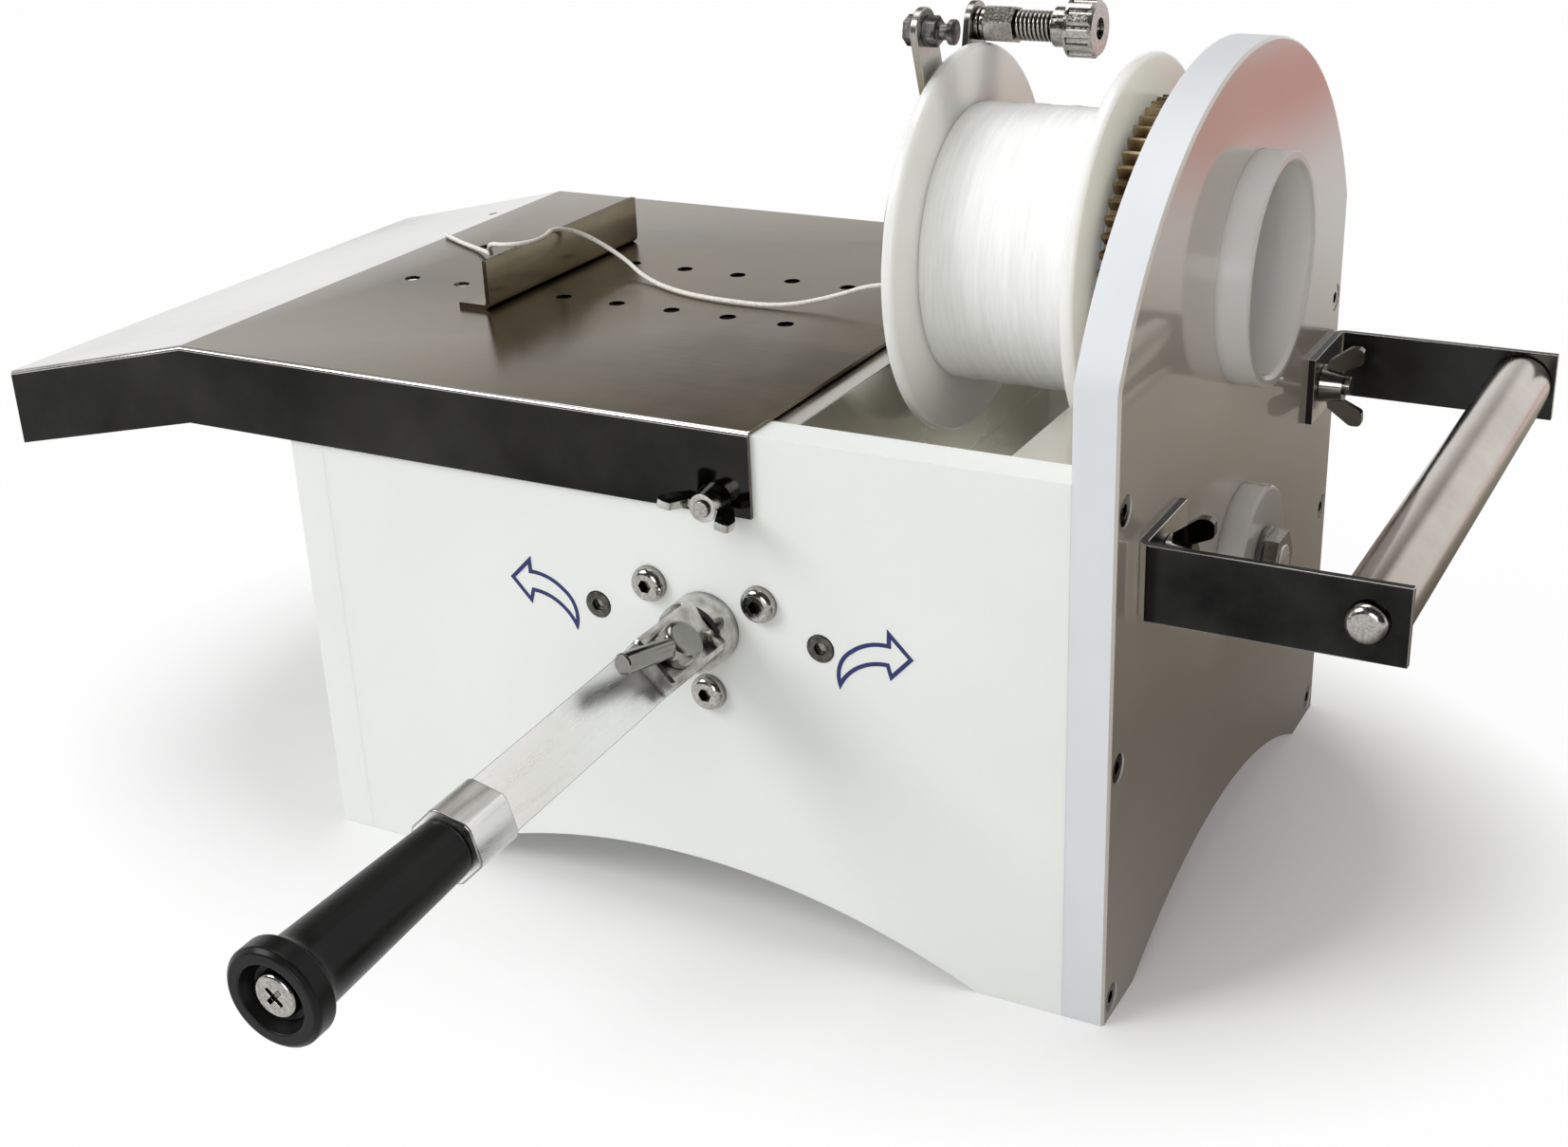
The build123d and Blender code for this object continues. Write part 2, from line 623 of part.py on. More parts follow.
BOSS_SPIGOT_R = 14.0
BOSS_R = 30.0
BOSS_T = 10.5
CROSS_ENDS = (LEVER_X + 41.0, 19.0)


def shaft_boss():
    boss = rod_x(0, BOSS_T, MID_Y, SHAFT_Z, BOSS_R)
    boss = chamfer(boss.edges().group_by(Axis.X)[-1], 1.0)
    boss += rod_x(-PLATE_T, 1, MID_Y, SHAFT_Z, BOSS_SPIGOT_R)
    return boss - rod_x(-PLATE_T - 1, BOSS_T + 1, MID_Y, SHAFT_Z, CROSS_R + FIT)


def cross_shaft():
    shaft = rod_x(*CROSS_ENDS, MID_Y, SHAFT_Z, CROSS_R)
    shaft += rod_x(CROSS_ENDS[0] - 16.5, CROSS_ENDS[0] + 1, MID_Y, SHAFT_Z, 4.0)
    return shaft


def bevel_pinion():
    """14 teeth; a gap faces the big gear, on the -y side."""
    gear = bevel_solid(BEVEL_TEETH[1], BEVEL_TEETH[0], 360 / BEVEL_TEETH[1] / 2, 40.8, 7.5, 4.0)
    gear = gear.rotate(Axis.Z, -90).rotate(Axis.Y, 90)
    return Pos(LEVER_X, MID_Y, SHAFT_Z) * gear


def lower_gear():
    """Same gear on the cross shaft, with a gap pointing straight up."""
    face = spur_face(SPUR_TEETH, SPUR_MODULE, pi / 2 + pi / SPUR_TEETH)
    gear = Pos(GEAR_X[0], 0, 0) * FACE_X * extrude(face, GEAR_X[1] - GEAR_X[0])
    gear += rod_x(GEAR_X[1] - 1, -PLATE_T - 0.3, 0, 0, 16.0)
    gear -= rod_x(GEAR_X[0] - 1, 0, 0, 0, CROSS_R)
    return Pos(0, MID_Y, SHAFT_Z) * gear


def shaft_nut():
    nut = hex_x(BOSS_T + 2.2, BOSS_T + 8.0, 24.0) + rod_x(BOSS_T + 0.3, BOSS_T + 2.3, 0, 0, 14.0)
    nut -= rod_x(0, 40, 0, 0, CROSS_R)
    return Pos(0, MID_Y, SHAFT_Z) * nut


# Lever shaft with the forked end, and the big bevel gear

FORK_HALF = 12.0
FORK_END = 11.0
SLOT_FLOOR = 11.5
COLLAR_Y = (-13.0, -GAP)
LEVER_SHAFT_R = 10.0


def lever_shaft():
    """Turned shaft; in its own frame the pivot is the origin and the slot faces are normal to x."""
    fork = block((-FORK_HALF, FORK_HALF), (-FORK_END, COLLAR_Y[0] - PIVOT_Y + 1), (-11, 11))
    fork = fork & rod_y(-FORK_END, 40, 0, 0, 15.2)
    fork = chamfer(fork.edges().group_by(Axis.Y)[0], 1.0)
    fork -= block((-BAR_T / 2 - FIT, BAR_T / 2 + FIT), (-FORK_END - 1, SLOT_FLOOR), (-20, 20))
    fork -= rod_x(-20, 20, 0, 0, 4.0)
    collar = rod_y(COLLAR_Y[0] - PIVOT_Y, COLLAR_Y[1] - PIVOT_Y, 0, 0, 14.0)
    collar = chamfer(collar.edges().group_by(Axis.Y)[0], 1.2)
    shaft = rod_y(COLLAR_Y[1] - PIVOT_Y - 1, BEVEL_BACK_Y + 29 - PIVOT_Y, 0, 0, LEVER_SHAFT_R)
    return at_pivot(fork + collar + shaft, False)


BEVEL_BACK_Y = MID_Y - 38.5


def drive_bevel():
    """42 teeth facing the back; one tooth points at +x."""
    gear = bevel_solid(*BEVEL_TEETH, 0, MID_Y - BEVEL_BACK_Y, 16.0, LEVER_SHAFT_R)
    gear = gear.rotate(Axis.X, 90)
    return Pos(LEVER_X, MID_Y, SHAFT_Z) * gear


def hinge_bolt():
    """Shank through fork and bar, with a thin nut on the far cheek."""
    bolt = rod_x(-FORK_HALF - 7, FORK_HALF + 0.2, 0, 0, 4.0)
    bolt += hex_x(-FORK_HALF - 5.5, -FORK_HALF, 13.0)
    return at_pivot(bolt, False)


CLAMP_TURN = 12.0
CLAMP_T = 8.4


def clamp_handle():
    """Round clamp head on the near cheek, with a short tommy bar lying over the lever."""
    x0 = FORK_HALF + GAP
    head = rod_x(x0, x0 + CLAMP_T, 0, 0, 8.0)
    head = fillet(head.edges().group_by(Axis.X)[-1], 2.5)
    bar = rod_y(-31, 0, x0 + CLAMP_T / 2, 0, 3.9)
    bar = chamfer(bar.edges().group_by(Axis.Y)[0], 0.5)
    return at_pivot((head + bar).rotate(Axis.X, -CLAMP_TURN), False)


def lever_bar():
    """Flat bar with a round eye at the pivot and a round tang through the grip."""
    half = BAR_W / 2
    bar = block((-BAR_T / 2, BAR_T / 2), (-BAR_LEN, 0), (-half, half))
    bar += rod_x(-BAR_T / 2, BAR_T / 2, 0, 0, half)
    bar -= rod_x(-20, 20, 0, 0, 4.0 + FIT)
    bar += rod_y(-LEVER_LEN + 9, -BAR_LEN + 1, 0, 0, 5.0)
    return at_pivot(bar, True)


def grip_collar():
    """Hexagonal lock nut between bar and grip, chamfered towards the grip."""
    face = RegularPolygon(12.0, 6, major_radius=False)
    nut = Rot(90, 0, 0) * extrude(face, NUT_LEN - GAP)
    nut = nut & rod_y(-NUT_LEN, 1, 0, 0, 13.2)
    nut = Pos(0, -BAR_LEN, 0) * nut
    nut -= rod_y(-LEVER_LEN, 0, 0, 0, 5.0)
    return at_pivot(nut, True)


GRIP_FLANGE_R = 16.5
GRIP_END_R = 15.0


def grip():
    """Tapered hand grip, revolved, with a flanged end and a recess for its screw."""
    start = -BAR_LEN - NUT_LEN
    end = -LEVER_LEN
    with BuildLine() as line:
        Polyline((5.0 + FIT, start), (9.4, start), (10.4, start - 1.2), (12.6, end + 15))
        Spline((12.6, end + 15), (13.4, end + 11.5), (GRIP_FLANGE_R, end + 8.0),
               tangents=((0.15, -1), (0.8, -0.6)))
        Polyline((GRIP_FLANGE_R, end + 8.0), (GRIP_FLANGE_R, end + 1.5), (GRIP_END_R, end),
                 (11.5, end), (9.2, end + 5.0), (5.0 + FIT, end + 5.0), (5.0 + FIT, start))
    body = revolve(make_face(line.line), Axis.Y)
    return at_pivot(body, True)


def grip_screw():
    """Pan screw and washer in the grip's recess, threaded into the tang."""
    one = rod_y(-LEVER_LEN + 1.4, -LEVER_LEN + 4.7, 0, 0, 7.4)
    one = fillet(one.edges().group_by(Axis.Y)[0], 1.6)
    one += rod_y(-LEVER_LEN + 4.0, -LEVER_LEN + 9.0, 0, 0, 3.6)
    cross = block((-0.7, 0.7), (-LEVER_LEN - 1, -LEVER_LEN + 3), (-3.4, 3.4))
    one -= cross + cross.rotate(Axis.Y, 90)
    return at_pivot(one, True)


# Rest bar outside the end plate

def arm(y0, inward, stud_y):
    """Flat strip bent round at the end plate, its foot held by a wing nut."""
    foot = y0 + inward * ARM_FOOT
    far = y0 + inward * ARM_T
    outline = make_face(Polyline((ARM_LEN, y0), (0, y0), (0, foot), (ARM_T, foot),
                                 (ARM_T, far), (ARM_LEN, far), close=True))
    bend = outline.vertices().filter_by(lambda v: abs(v.X) < 0.1 and abs(v.Y - y0) < 0.1)
    outline = fillet(bend, ARM_T + 1.5)
    bend = outline.vertices().filter_by(lambda v: abs(v.X - ARM_T) < 0.1 and abs(v.Y - far) < 0.1)
    outline = fillet(bend, 1.5)
    strip = Pos(0, 0, ARM_Z[0]) * extrude(outline, ARM_Z[1] - ARM_Z[0])
    strip -= rod_x(-1, 5, stud_y, sum(ARM_Z) / 2, 4.3)
    strip -= rod_y(min(y0, far) - 1, max(y0, far) + 1, ROLLER_X, sum(ARM_Z) / 2, 4.0)
    return strip


def arm_studs():
    """Studs through the end plate with flat heads on its inner face."""
    z = sum(ARM_Z) / 2
    group = []
    for y in ARM_NUT_Y:
        stud = rod_x(-PLATE_T, ARM_T + 12.0, y, z, 4.0) + rod_x(-PLATE_T - 4.5, -PLATE_T, y, z, 8.0)
        group.append(stud)
    return Compound(children=group)


def roller_rod():
    z = sum(ARM_Z) / 2
    return rod_y(ARM_NEAR_Y, ARM_FAR_Y, ROLLER_X, z, 4.0)


def roller_screws():
    """Domed cap screws on the two arms' outer faces."""
    z = sum(ARM_Z) / 2
    cap = fillet(rod_z(0, 4.4, 0, 0, 7.4).edges().group_by(Axis.Z)[-1], 3.6)
    near = Pos(ROLLER_X, ARM_NEAR_Y, z) * Rot(90, 0, 0) * cap
    far = Pos(ROLLER_X, ARM_FAR_Y, z) * Rot(-90, 0, 0) * cap
    return Compound(children=[near, far])


def roller():
    y0 = ARM_NEAR_Y + ARM_T + 0.5
    y1 = ARM_FAR_Y - ARM_T - 0.5
    z = sum(ARM_Z) / 2
    tube = rod_y(y0, y1, ROLLER_X, z, ROLLER_R) - rod_y(y0 + 8, y1 - 8, ROLLER_X, z, ROLLER_R - 1.5)
    return chamfer(tube.edges().filter_by(GeomType.CIRCLE).filter_by(
        lambda e: e.radius > ROLLER_R - 0.1), 0.8) - rod_y(y0 - 1, y1 + 1, ROLLER_X, z, 4.0 + FIT)


# Printed arrows beside the lever

def arrow_face(tail, rise, bend, run, notch, barb, tip, low_barb, low_notch, inner):
    """Curved arrow: two arcs along its outer side, the head, one arc back to the tail."""
    with BuildLine() as line:
        ThreePointArc(tail, rise, bend)
        ThreePointArc(bend, run, notch)
        Polyline(notch, barb, tip, low_barb, low_notch)
        ThreePointArc(low_notch, inner, tail)
    return make_face(line.line)


def arrow():
    """Outlined curved arrow with a 1.6 mm line, its tail's tip at the origin."""
    flat = arrow_face((0, 0), (0.9, 8.9), (-4.5, 17.0), (-11.3, 20.9), (-19.1, 22.2),
                      (-19.3, 28.0), (-29.6, 17.7), (-20.3, 7.7), (-18.7, 13.0), (-7.4, 9.4))
    flat -= arrow_face((-0.4, 4.4), (-1.4, 10.8), (-5.5, 15.7), (-11.8, 19.4), (-20.8, 20.5),
                       (-20.8, 24.2), (-27.4, 17.7), (-21.0, 10.8), (-19.9, 14.6), (-6.5, 10.7))
    return Rot(90, 0, 0) * extrude(flat, 0.15)


def arrow_labels():
    left = Pos(LEVER_X - 58.3, 0, SHAFT_Z - 13.0) * arrow()
    right = Pos(LEVER_X + 55.3, 0, SHAFT_Z - 14.9) * arrow().mirror(Plane.YZ)
    return Compound(children=[left, right])


# Twine

def twine():
    """Round twine: straight runs joined by tangent arcs."""
    reach = (TUBE_ENDS[0] - 5.0 - STOP_X) / TWINE[-1][0]
    points = [Vector(STOP_X + (x if x < 0 else x * reach), MID_Y + y, TABLE_Z + z)
              for x, y, z in TWINE]
    radii = []
    for before, at, after in zip(points, points[1:], points[2:]):
        turn = radians((at - before).get_angle(after - at))
        radii.append(0.45 * min((at - before).length, (after - at).length) / tan(turn / 2))
    print("twine radii", [round(r, 1) for r in radii])
    path = FilletPolyline(*points, radius=radii)
    start = Plane(origin=path @ 0, z_dir=path % 0)
    tube = sweep(start * Circle(TWINE_R), path=path)
    print("twine length", round(path.length, 1), "volume ratio",
          round(tube.volume / (pi * TWINE_R ** 2 * path.length), 4))
    return tube


def wing_pair(y, sign, turn):
    """Wing nut for a table stud, on the apron's outer face."""
    nut = wing_nut(3.0 + FIT, WING_SPAN[0]).rotate(Axis.Z, turn)
    return Pos(TABLE_STUD[0], y, TABLE_STUD[1]) * Rot(-90 * sign, 0, 0) * nut


def arm_nut(y):
    nut = wing_nut(4.0 + FIT, WING_SPAN[1]).rotate(Axis.Z, 8)
    return Pos(ARM_T + GAP, y, sum(ARM_Z) / 2) * Rot(0, 90, 0) * nut


PARTS = {
    "front_plate": front_plate(),
    "back_plate": side_plate(BODY_W - PLATE_T),
    "left_plate": left_plate(),
    "end_plate": end_plate(),
    "left_plate_screws": edge_screws(-BODY_L, 1),
    "end_plate_screws": edge_screws(0.0, -1),
    "lever_bearing": lever_bearing(),
    "bearing_screws": flange_screws(),
    "gear_bracket": gear_bracket(),
    "bracket_screws": bracket_screws(),
    "table": table(),
    "table_studs": table_studs(),
    "front_wing_nut": wing_pair(-GAP - SHEET - GAP, -1, -12),
    "back_wing_nut": wing_pair(BODY_W + GAP + SHEET + GAP, 1, 20),
    "stop": stop(),
    "stop_screws": stop_screws(),
    "deck": deck(),
    "cross_rail": cross_rail(),
    "spindle_tube": spindle_tube(),
    "keeper_ring": keeper_ring(),
    "keeper_screws": keeper_screws(),
    "spindle_gear": spindle_gear(),
    "flyer": flyer(),
    "flyer_hub": flyer_hub(),
    "eyelet_bolt": eyelet_bolt(),
    "tension_stud": tension_stud(),
    "tension_discs": tension_discs(),
    "tension_nut": tension_nut(),
    "tension_spring": tension_spring(),
    "thumb_nut": thumb_nut(),
    "spool_washer": spool_washer(),
    "spool_core": spool_core(),
    "spool_left_flange": spool_flange(SPOOL_X[0]),
    "spool_right_flange": spool_flange(SPOOL_X[1] - FLANGE_T),
    "wound_thread": wound_thread(),
    "shaft_boss": shaft_boss(),
    "cross_shaft": cross_shaft(),
    "bevel_pinion": bevel_pinion(),
    "lower_gear": lower_gear(),
    "shaft_nut": shaft_nut(),
    "lever_shaft": lever_shaft(),
    "drive_bevel": drive_bevel(),
    "hinge_bolt": hinge_bolt(),
    "clamp_handle": clamp_handle(),
    "lever_bar": lever_bar(),
    "grip_collar": grip_collar(),
    "grip": grip(),
    "grip_screw": grip_screw(),
    "near_arm": arm(ARM_NEAR_Y, 1, ARM_NUT_Y[0]),
    "far_arm": arm(ARM_FAR_Y, -1, ARM_NUT_Y[1]),
    "arm_studs": arm_studs(),
    "near_arm_nut": arm_nut(ARM_NUT_Y[0]),
    "far_arm_nut": arm_nut(ARM_NUT_Y[1]),
    "roller_rod": roller_rod(),
    "roller_screws": roller_screws(),
    "roller": roller(),
    "arrow_labels": arrow_labels(),
    "twine": twine(),
}

# The frame's origin under the middle of the overall box
tip_y = PIVOT_Y - LEVER_LEN * cos(radians(FOLD_REST)) - GRIP_END_R * sin(radians(FOLD_REST))
back_y = BODY_W + SHEET + 2 * GAP + WING_H
FRAME = (-(BEND_X - WING_RUN + ARM_LEN) / 2, -(tip_y + back_y) / 2, 0)

os.makedirs("parts", exist_ok=True)
for name, shape in PARTS.items():
    export_step(Pos(*FRAME) * shape, f"parts/{name}.step")
print("frame shift", [round(v, 3) for v in FRAME], "nodes", len(PARTS))
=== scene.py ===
import json
import math
import random

import bmesh
import bpy
from mathutils import Matrix, Vector

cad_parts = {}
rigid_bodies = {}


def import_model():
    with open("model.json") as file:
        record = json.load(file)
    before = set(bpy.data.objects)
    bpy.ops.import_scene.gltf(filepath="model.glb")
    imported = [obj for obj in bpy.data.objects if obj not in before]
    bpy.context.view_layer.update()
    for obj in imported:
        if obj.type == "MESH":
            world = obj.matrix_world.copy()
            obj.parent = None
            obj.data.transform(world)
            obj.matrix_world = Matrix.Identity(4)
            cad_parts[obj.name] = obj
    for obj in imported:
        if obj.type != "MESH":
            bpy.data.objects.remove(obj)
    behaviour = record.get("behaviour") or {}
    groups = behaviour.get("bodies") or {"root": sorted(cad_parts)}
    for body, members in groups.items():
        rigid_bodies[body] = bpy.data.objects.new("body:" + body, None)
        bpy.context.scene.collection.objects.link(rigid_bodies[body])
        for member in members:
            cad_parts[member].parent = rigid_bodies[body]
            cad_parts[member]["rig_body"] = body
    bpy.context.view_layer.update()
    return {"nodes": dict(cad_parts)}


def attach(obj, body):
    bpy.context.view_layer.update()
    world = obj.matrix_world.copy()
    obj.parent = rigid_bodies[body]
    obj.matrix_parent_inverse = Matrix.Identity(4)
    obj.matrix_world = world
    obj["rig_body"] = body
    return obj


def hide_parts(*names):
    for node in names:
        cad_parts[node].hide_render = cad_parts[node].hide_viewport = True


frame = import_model()
random.seed(41)

# The camera stands off the machine's right front corner, a little above its top, at the
# place that was worked out from the photo. Its three axes are given as unit vectors.
camera_data = bpy.data.cameras.new("camera")
camera_data.sensor_fit = "HORIZONTAL"
camera_data.sensor_width = 36.0
camera_data.lens = 47.82
camera_data.clip_start = 0.05
camera = bpy.data.objects.new("camera", camera_data)
bpy.context.scene.collection.objects.link(camera)
camera_right = Vector((0.8789198, 0.4753874, -0.0388171))
camera_up = Vector((-0.1623826, 0.3747537, 0.9127933))
camera_back = Vector((0.4484773, -0.7959689, 0.4065731))
camera_place = (0.41636, -0.61679, 0.46130)
camera_turn = Matrix((camera_right, camera_up, camera_back)).transposed().to_4x4()
camera.matrix_world = Matrix.Translation(camera_place) @ camera_turn
bpy.context.scene.camera = camera


# Twine: a length of limp two-millimetre cotton, tied to nothing. It lies on the table, goes
# over the bent stop and runs across the holes to the mouth of the tube.
def new_finish(name):
    """A material with its own shader, ready for grain and tone."""
    material = bpy.data.materials.new(name)
    material.use_nodes = True
    tree = material.node_tree
    shader = next(n for n in tree.nodes if n.type == "BSDF_PRINCIPLED")
    return material, tree, shader


def grain(tree, scale, stretch=(1, 1, 1), detail=4.0, rough=0.55):
    """Noise in the piece's own space, drawn out along its axes."""
    place = tree.nodes.new("ShaderNodeTexCoord")
    scaled = tree.nodes.new("ShaderNodeMapping")
    scaled.inputs["Scale"].default_value = stretch
    noise = tree.nodes.new("ShaderNodeTexNoise")
    noise.inputs["Scale"].default_value = scale
    noise.inputs["Detail"].default_value = detail
    noise.inputs["Roughness"].default_value = rough
    tree.links.new(place.outputs["Object"], scaled.inputs["Vector"])
    tree.links.new(scaled.outputs["Vector"], noise.inputs["Vector"])
    return noise.outputs["Fac"]


def tone(tree, amount, stops):
    """Colour along a ramp of (place, colour) stops."""
    ramp = tree.nodes.new("ShaderNodeValToRGB")
    points = ramp.color_ramp.elements
    while len(points) < len(stops):
        points.new(0.5)
    for point, (place, colour) in zip(points, stops):
        point.position = place
        point.color = (*colour, 1)
    tree.links.new(amount, ramp.inputs["Fac"])
    return ramp.outputs["Color"]


def relief(tree, shader, amount, depth, strength=1.0, under=None):
    """Bump of a depth in metres; a second one may lie under it."""
    bump = tree.nodes.new("ShaderNodeBump")
    bump.inputs["Distance"].default_value = depth
    bump.inputs["Strength"].default_value = strength
    tree.links.new(amount, bump.inputs["Height"])
    if under is not None:
        tree.links.new(under, bump.inputs["Normal"])
    tree.links.new(bump.outputs["Normal"], shader.inputs["Normal"])
    return bump.outputs["Normal"]


# The machine's own zero is on the floor, at the outer faces of the end plate and the front
# plate. The frame's zero is under the middle of the whole machine.
machine_to_frame = Vector((206.2, -22.7525, 0.0))


def in_frame(x, y, z):
    """A place in the machine's own millimetres, given in the frame's metres."""
    return (Vector((x, y, z)) + machine_to_frame) / 1000


def round_line(name, kind, places, thickness, sides, finish):
    """A line of round section through a row of places."""
    line = bpy.data.curves.new(name, "CURVE")
    line.dimensions = "3D"
    spline = line.splines.new(kind)
    spline.points.add(len(places) - 1)
    for point, place in zip(spline.points, places):
        point.co = (*place, 1)
    if kind == "NURBS":
        spline.order_u = 3
        spline.use_endpoint_u = True
        spline.resolution_u = 12
    line.bevel_depth = thickness / 2
    line.bevel_resolution = sides
    line.use_fill_caps = True
    line.materials.append(finish)
    piece = bpy.data.objects.new(name, line)
    bpy.context.scene.collection.objects.link(piece)
    return piece


cotton, tree, shader = new_finish("cotton_twine")
fibre = grain(tree, 900, (1, 1, 1), 5)
cotton_shades = [(0.3, (0.66, 0.63, 0.57)), (0.7, (0.90, 0.88, 0.83))]
tree.links.new(tone(tree, fibre, cotton_shades), shader.inputs["Base Color"])
shader.inputs["Roughness"].default_value = 0.85
relief(tree, shader, fibre, 0.0004)

twine_thickness = 0.002
twine_route = [
    (-402.0, 179.0, 211.7), (-386.0, 169.5, 211.7), (-368.0, 161.5, 211.9),
    (-350.0, 145.0, 215.5), (-335.0, 123.0, 225.4), (-323.0, 108.5, 232.6),
    (-313.5, 104.5, 233.9), (-305.5, 109.5, 234.0), (-304.0, 122.0, 233.6),
    (-309.5, 137.0, 233.8), (-304.5, 151.5, 228.5), (-289.0, 159.0, 217.0),
    (-272.0, 149.0, 211.9), (-248.0, 136.0, 211.7), (-222.0, 131.5, 211.7),
    (-196.0, 132.5, 211.7), (-178.0, 142.0, 214.5), (-156.0, 150.5, 222.0),
    (-131.0, 158.0, 220.0),
]
twine_points = [in_frame(*p) for p in twine_route]
twine = round_line("loose_twine", "NURBS", twine_points, twine_thickness, 4, cotton)
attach(twine, "frame")
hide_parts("twine")


# Body boards: four 16 mm boards of white polyethylene, milled to shape with rounded
# arches between their feet, and a square rail of the same board between them.
def dressed(node, finish, rounding=0.0004, corners=2, sharp=32.0, edges=None, folds=None):
    """A copy of a CAD solid with its edges rounded, in its real finish.

    A second finish may be named for the rounded edges alone. Where the solid is a folded
    sheet, a function gives each edge its own bend radius in metres.
    """
    same_point = 2e-6
    nearly_flat = math.radians(0.4)
    largest_fold = 0.0025
    solid = frame["nodes"][node]
    mesh = solid.data.copy()
    mesh.materials.clear()
    work = bmesh.new()
    work.from_mesh(mesh)
    bmesh.ops.remove_doubles(work, verts=work.verts, dist=same_point)
    bmesh.ops.dissolve_limit(work, angle_limit=nearly_flat, verts=work.verts, edges=work.edges)
    if folds is not None:
        share = work.edges.layers.float.new("bevel_weight_edge")
        for one in work.edges:
            one[share] = folds(one) / largest_fold
    work.to_mesh(mesh)
    work.free()
    for custom in [a.name for a in mesh.attributes if a.name == "custom_normal"]:
        mesh.attributes.remove(mesh.attributes[custom])
    mesh.shade_smooth()
    piece = bpy.data.objects.new(node + "_piece", mesh)
    bpy.context.scene.collection.objects.link(piece)
    mesh.set_sharp_from_angle(angle=math.radians(sharp))
    for one in finish if isinstance(finish, (list, tuple)) else [finish]:
        mesh.materials.append(one)
    if edges is not None:
        mesh.materials.append(edges)
    if folds is not None:
        bend = piece.modifiers.new("folded edges", "BEVEL")
        bend.width = largest_fold
        bend.segments = 6
        bend.limit_method = "WEIGHT"
        bend.use_clamp_overlap = False
        bend.material = len(mesh.materials) - 1
    if rounding:
        edge = piece.modifiers.new("rounded edges", "BEVEL")
        edge.width = rounding
        edge.segments = corners
        edge.limit_method = "ANGLE"
        edge.angle_limit = math.radians(sharp)
        edge.use_clamp_overlap = True
        edge.harden_normals = True
        edge.miter_outer = "MITER_ARC"
        if edges is not None:
            edge.material = len(mesh.materials) - 1
    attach(piece, solid["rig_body"])
    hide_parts(node)
    return piece


def level(tree, amount, start, end, low, high):
    """Maps one range of a value on another."""
    shift = tree.nodes.new("ShaderNodeMapRange")
    limits = (("From Min", start), ("From Max", end), ("To Min", low), ("To Max", high))
    for socket, value in limits:
        shift.inputs[socket].default_value = value
    tree.links.new(amount, shift.inputs["Value"])
    return shift.outputs["Result"]


def see_through_skin(shader, weight, radius):
    """Light goes a little way into the material before it comes out again."""
    shader.inputs["Subsurface Weight"].default_value = weight
    shader.inputs["Subsurface Radius"].default_value = radius
    shader.inputs["Subsurface Scale"].default_value = 1.0


def white_board(name, low, high, gloss, dulling=0.16, marks=0.00008):
    """Milled board: its dullest spots are rougher by the dulling, marks are metres deep."""
    board, tree, shader = new_finish(name)
    cloud = grain(tree, 7, (1, 1, 1), 3)
    milled = grain(tree, 260, (0.12, 0.12, 1.0), 3)
    scratch = grain(tree, 90, (1.0, 0.15, 0.2), 6, 0.7)
    tree.links.new(tone(tree, cloud, [(0.3, low), (0.72, high)]), shader.inputs["Base Color"])
    roughness = level(tree, scratch, 0.35, 0.7, gloss, gloss + dulling)
    tree.links.new(roughness, shader.inputs["Roughness"])
    see_through_skin(shader, 0.12, (0.006, 0.006, 0.005))
    shader.inputs["IOR"].default_value = 1.52
    first = relief(tree, shader, milled, marks * 0.75)
    relief(tree, shader, scratch, marks, 1.0, first)
    return board, shader


front_board, shader = white_board("front_board", (0.84, 0.87, 0.84), (0.89, 0.91, 0.89), 0.40)
# Painted shade: the end board is the same white polyethylene as the front board, but its faces
# that face along x are a darker, browner white and its other faces a darker, greyer white.
end_edge_shade, shader = white_board("end_board_edge_shade", (0.68, 0.70, 0.73), (0.75, 0.77, 0.80), 0.36)
end_board, shader = white_board("end_board", (0.74, 0.69, 0.62), (0.82, 0.78, 0.72), 0.22,
                                0.02, 0.00001)
shader.inputs["Coat Weight"].default_value = 0.8
shader.inputs["Coat Roughness"].default_value = 0.04
shader.inputs["Coat IOR"].default_value = 1.6
for node in ("front_plate", "back_plate", "left_plate", "cross_rail"):
    dressed(node, front_board, 0.0009, 3)
end_plate = dressed("end_plate", [end_board, end_edge_shade], 0.0012, 3)
# Faces along x take the browner painted shade, the rest the greyer painted shade.
for face in end_plate.data.polygons:
    face.material_index = 0 if abs(face.normal.x) > 0.5 else 1


# Screws of the body: socket screws sunk along the edges of the left and the end board and
# the button heads of the lever's bearing, of turned steel whose sockets and other hollows
# are painted dark as painted shade. The gear bracket's two screws are sunk in the front
# board and dark with oil.
def mixed(tree, amount, first, second):
    """Goes from the first colour to the second; each is a colour or a socket."""
    mix = tree.nodes.new("ShaderNodeMix")
    mix.data_type = "RGBA"
    tree.links.new(amount, mix.inputs[0])
    for socket, colour in ((mix.inputs[6], first), (mix.inputs[7], second)):
        if isinstance(colour, tuple):
            socket.default_value = (*colour, 1)
        else:
            tree.links.new(colour, socket)
    return mix.outputs[2]


def hollow_places(tree, reach, shut, open_air):
    """Zero in the piece's own hollows and one on its open faces."""
    crevice = tree.nodes.new("ShaderNodeAmbientOcclusion")
    crevice.inputs["Distance"].default_value = reach
    crevice.samples = 6
    return level(tree, crevice.outputs["AO"], shut, open_air, 0.0, 1.0)


def metal(name, marks, low, high, dullness, depth, share=1.0, places=(0.3, 0.7)):
    """Metal of one grain: two shades, a range of roughness and a relief in metres."""
    material, tree, shader = new_finish(name)
    shader.inputs["Metallic"].default_value = share
    pattern = grain(tree, *marks)
    shades = list(zip(places, (low, high)))
    tree.links.new(tone(tree, pattern, shades), shader.inputs["Base Color"])
    tree.links.new(level(tree, pattern, 0.3, 0.7, *dullness), shader.inputs["Roughness"])
    relief(tree, shader, pattern, depth)
    return material


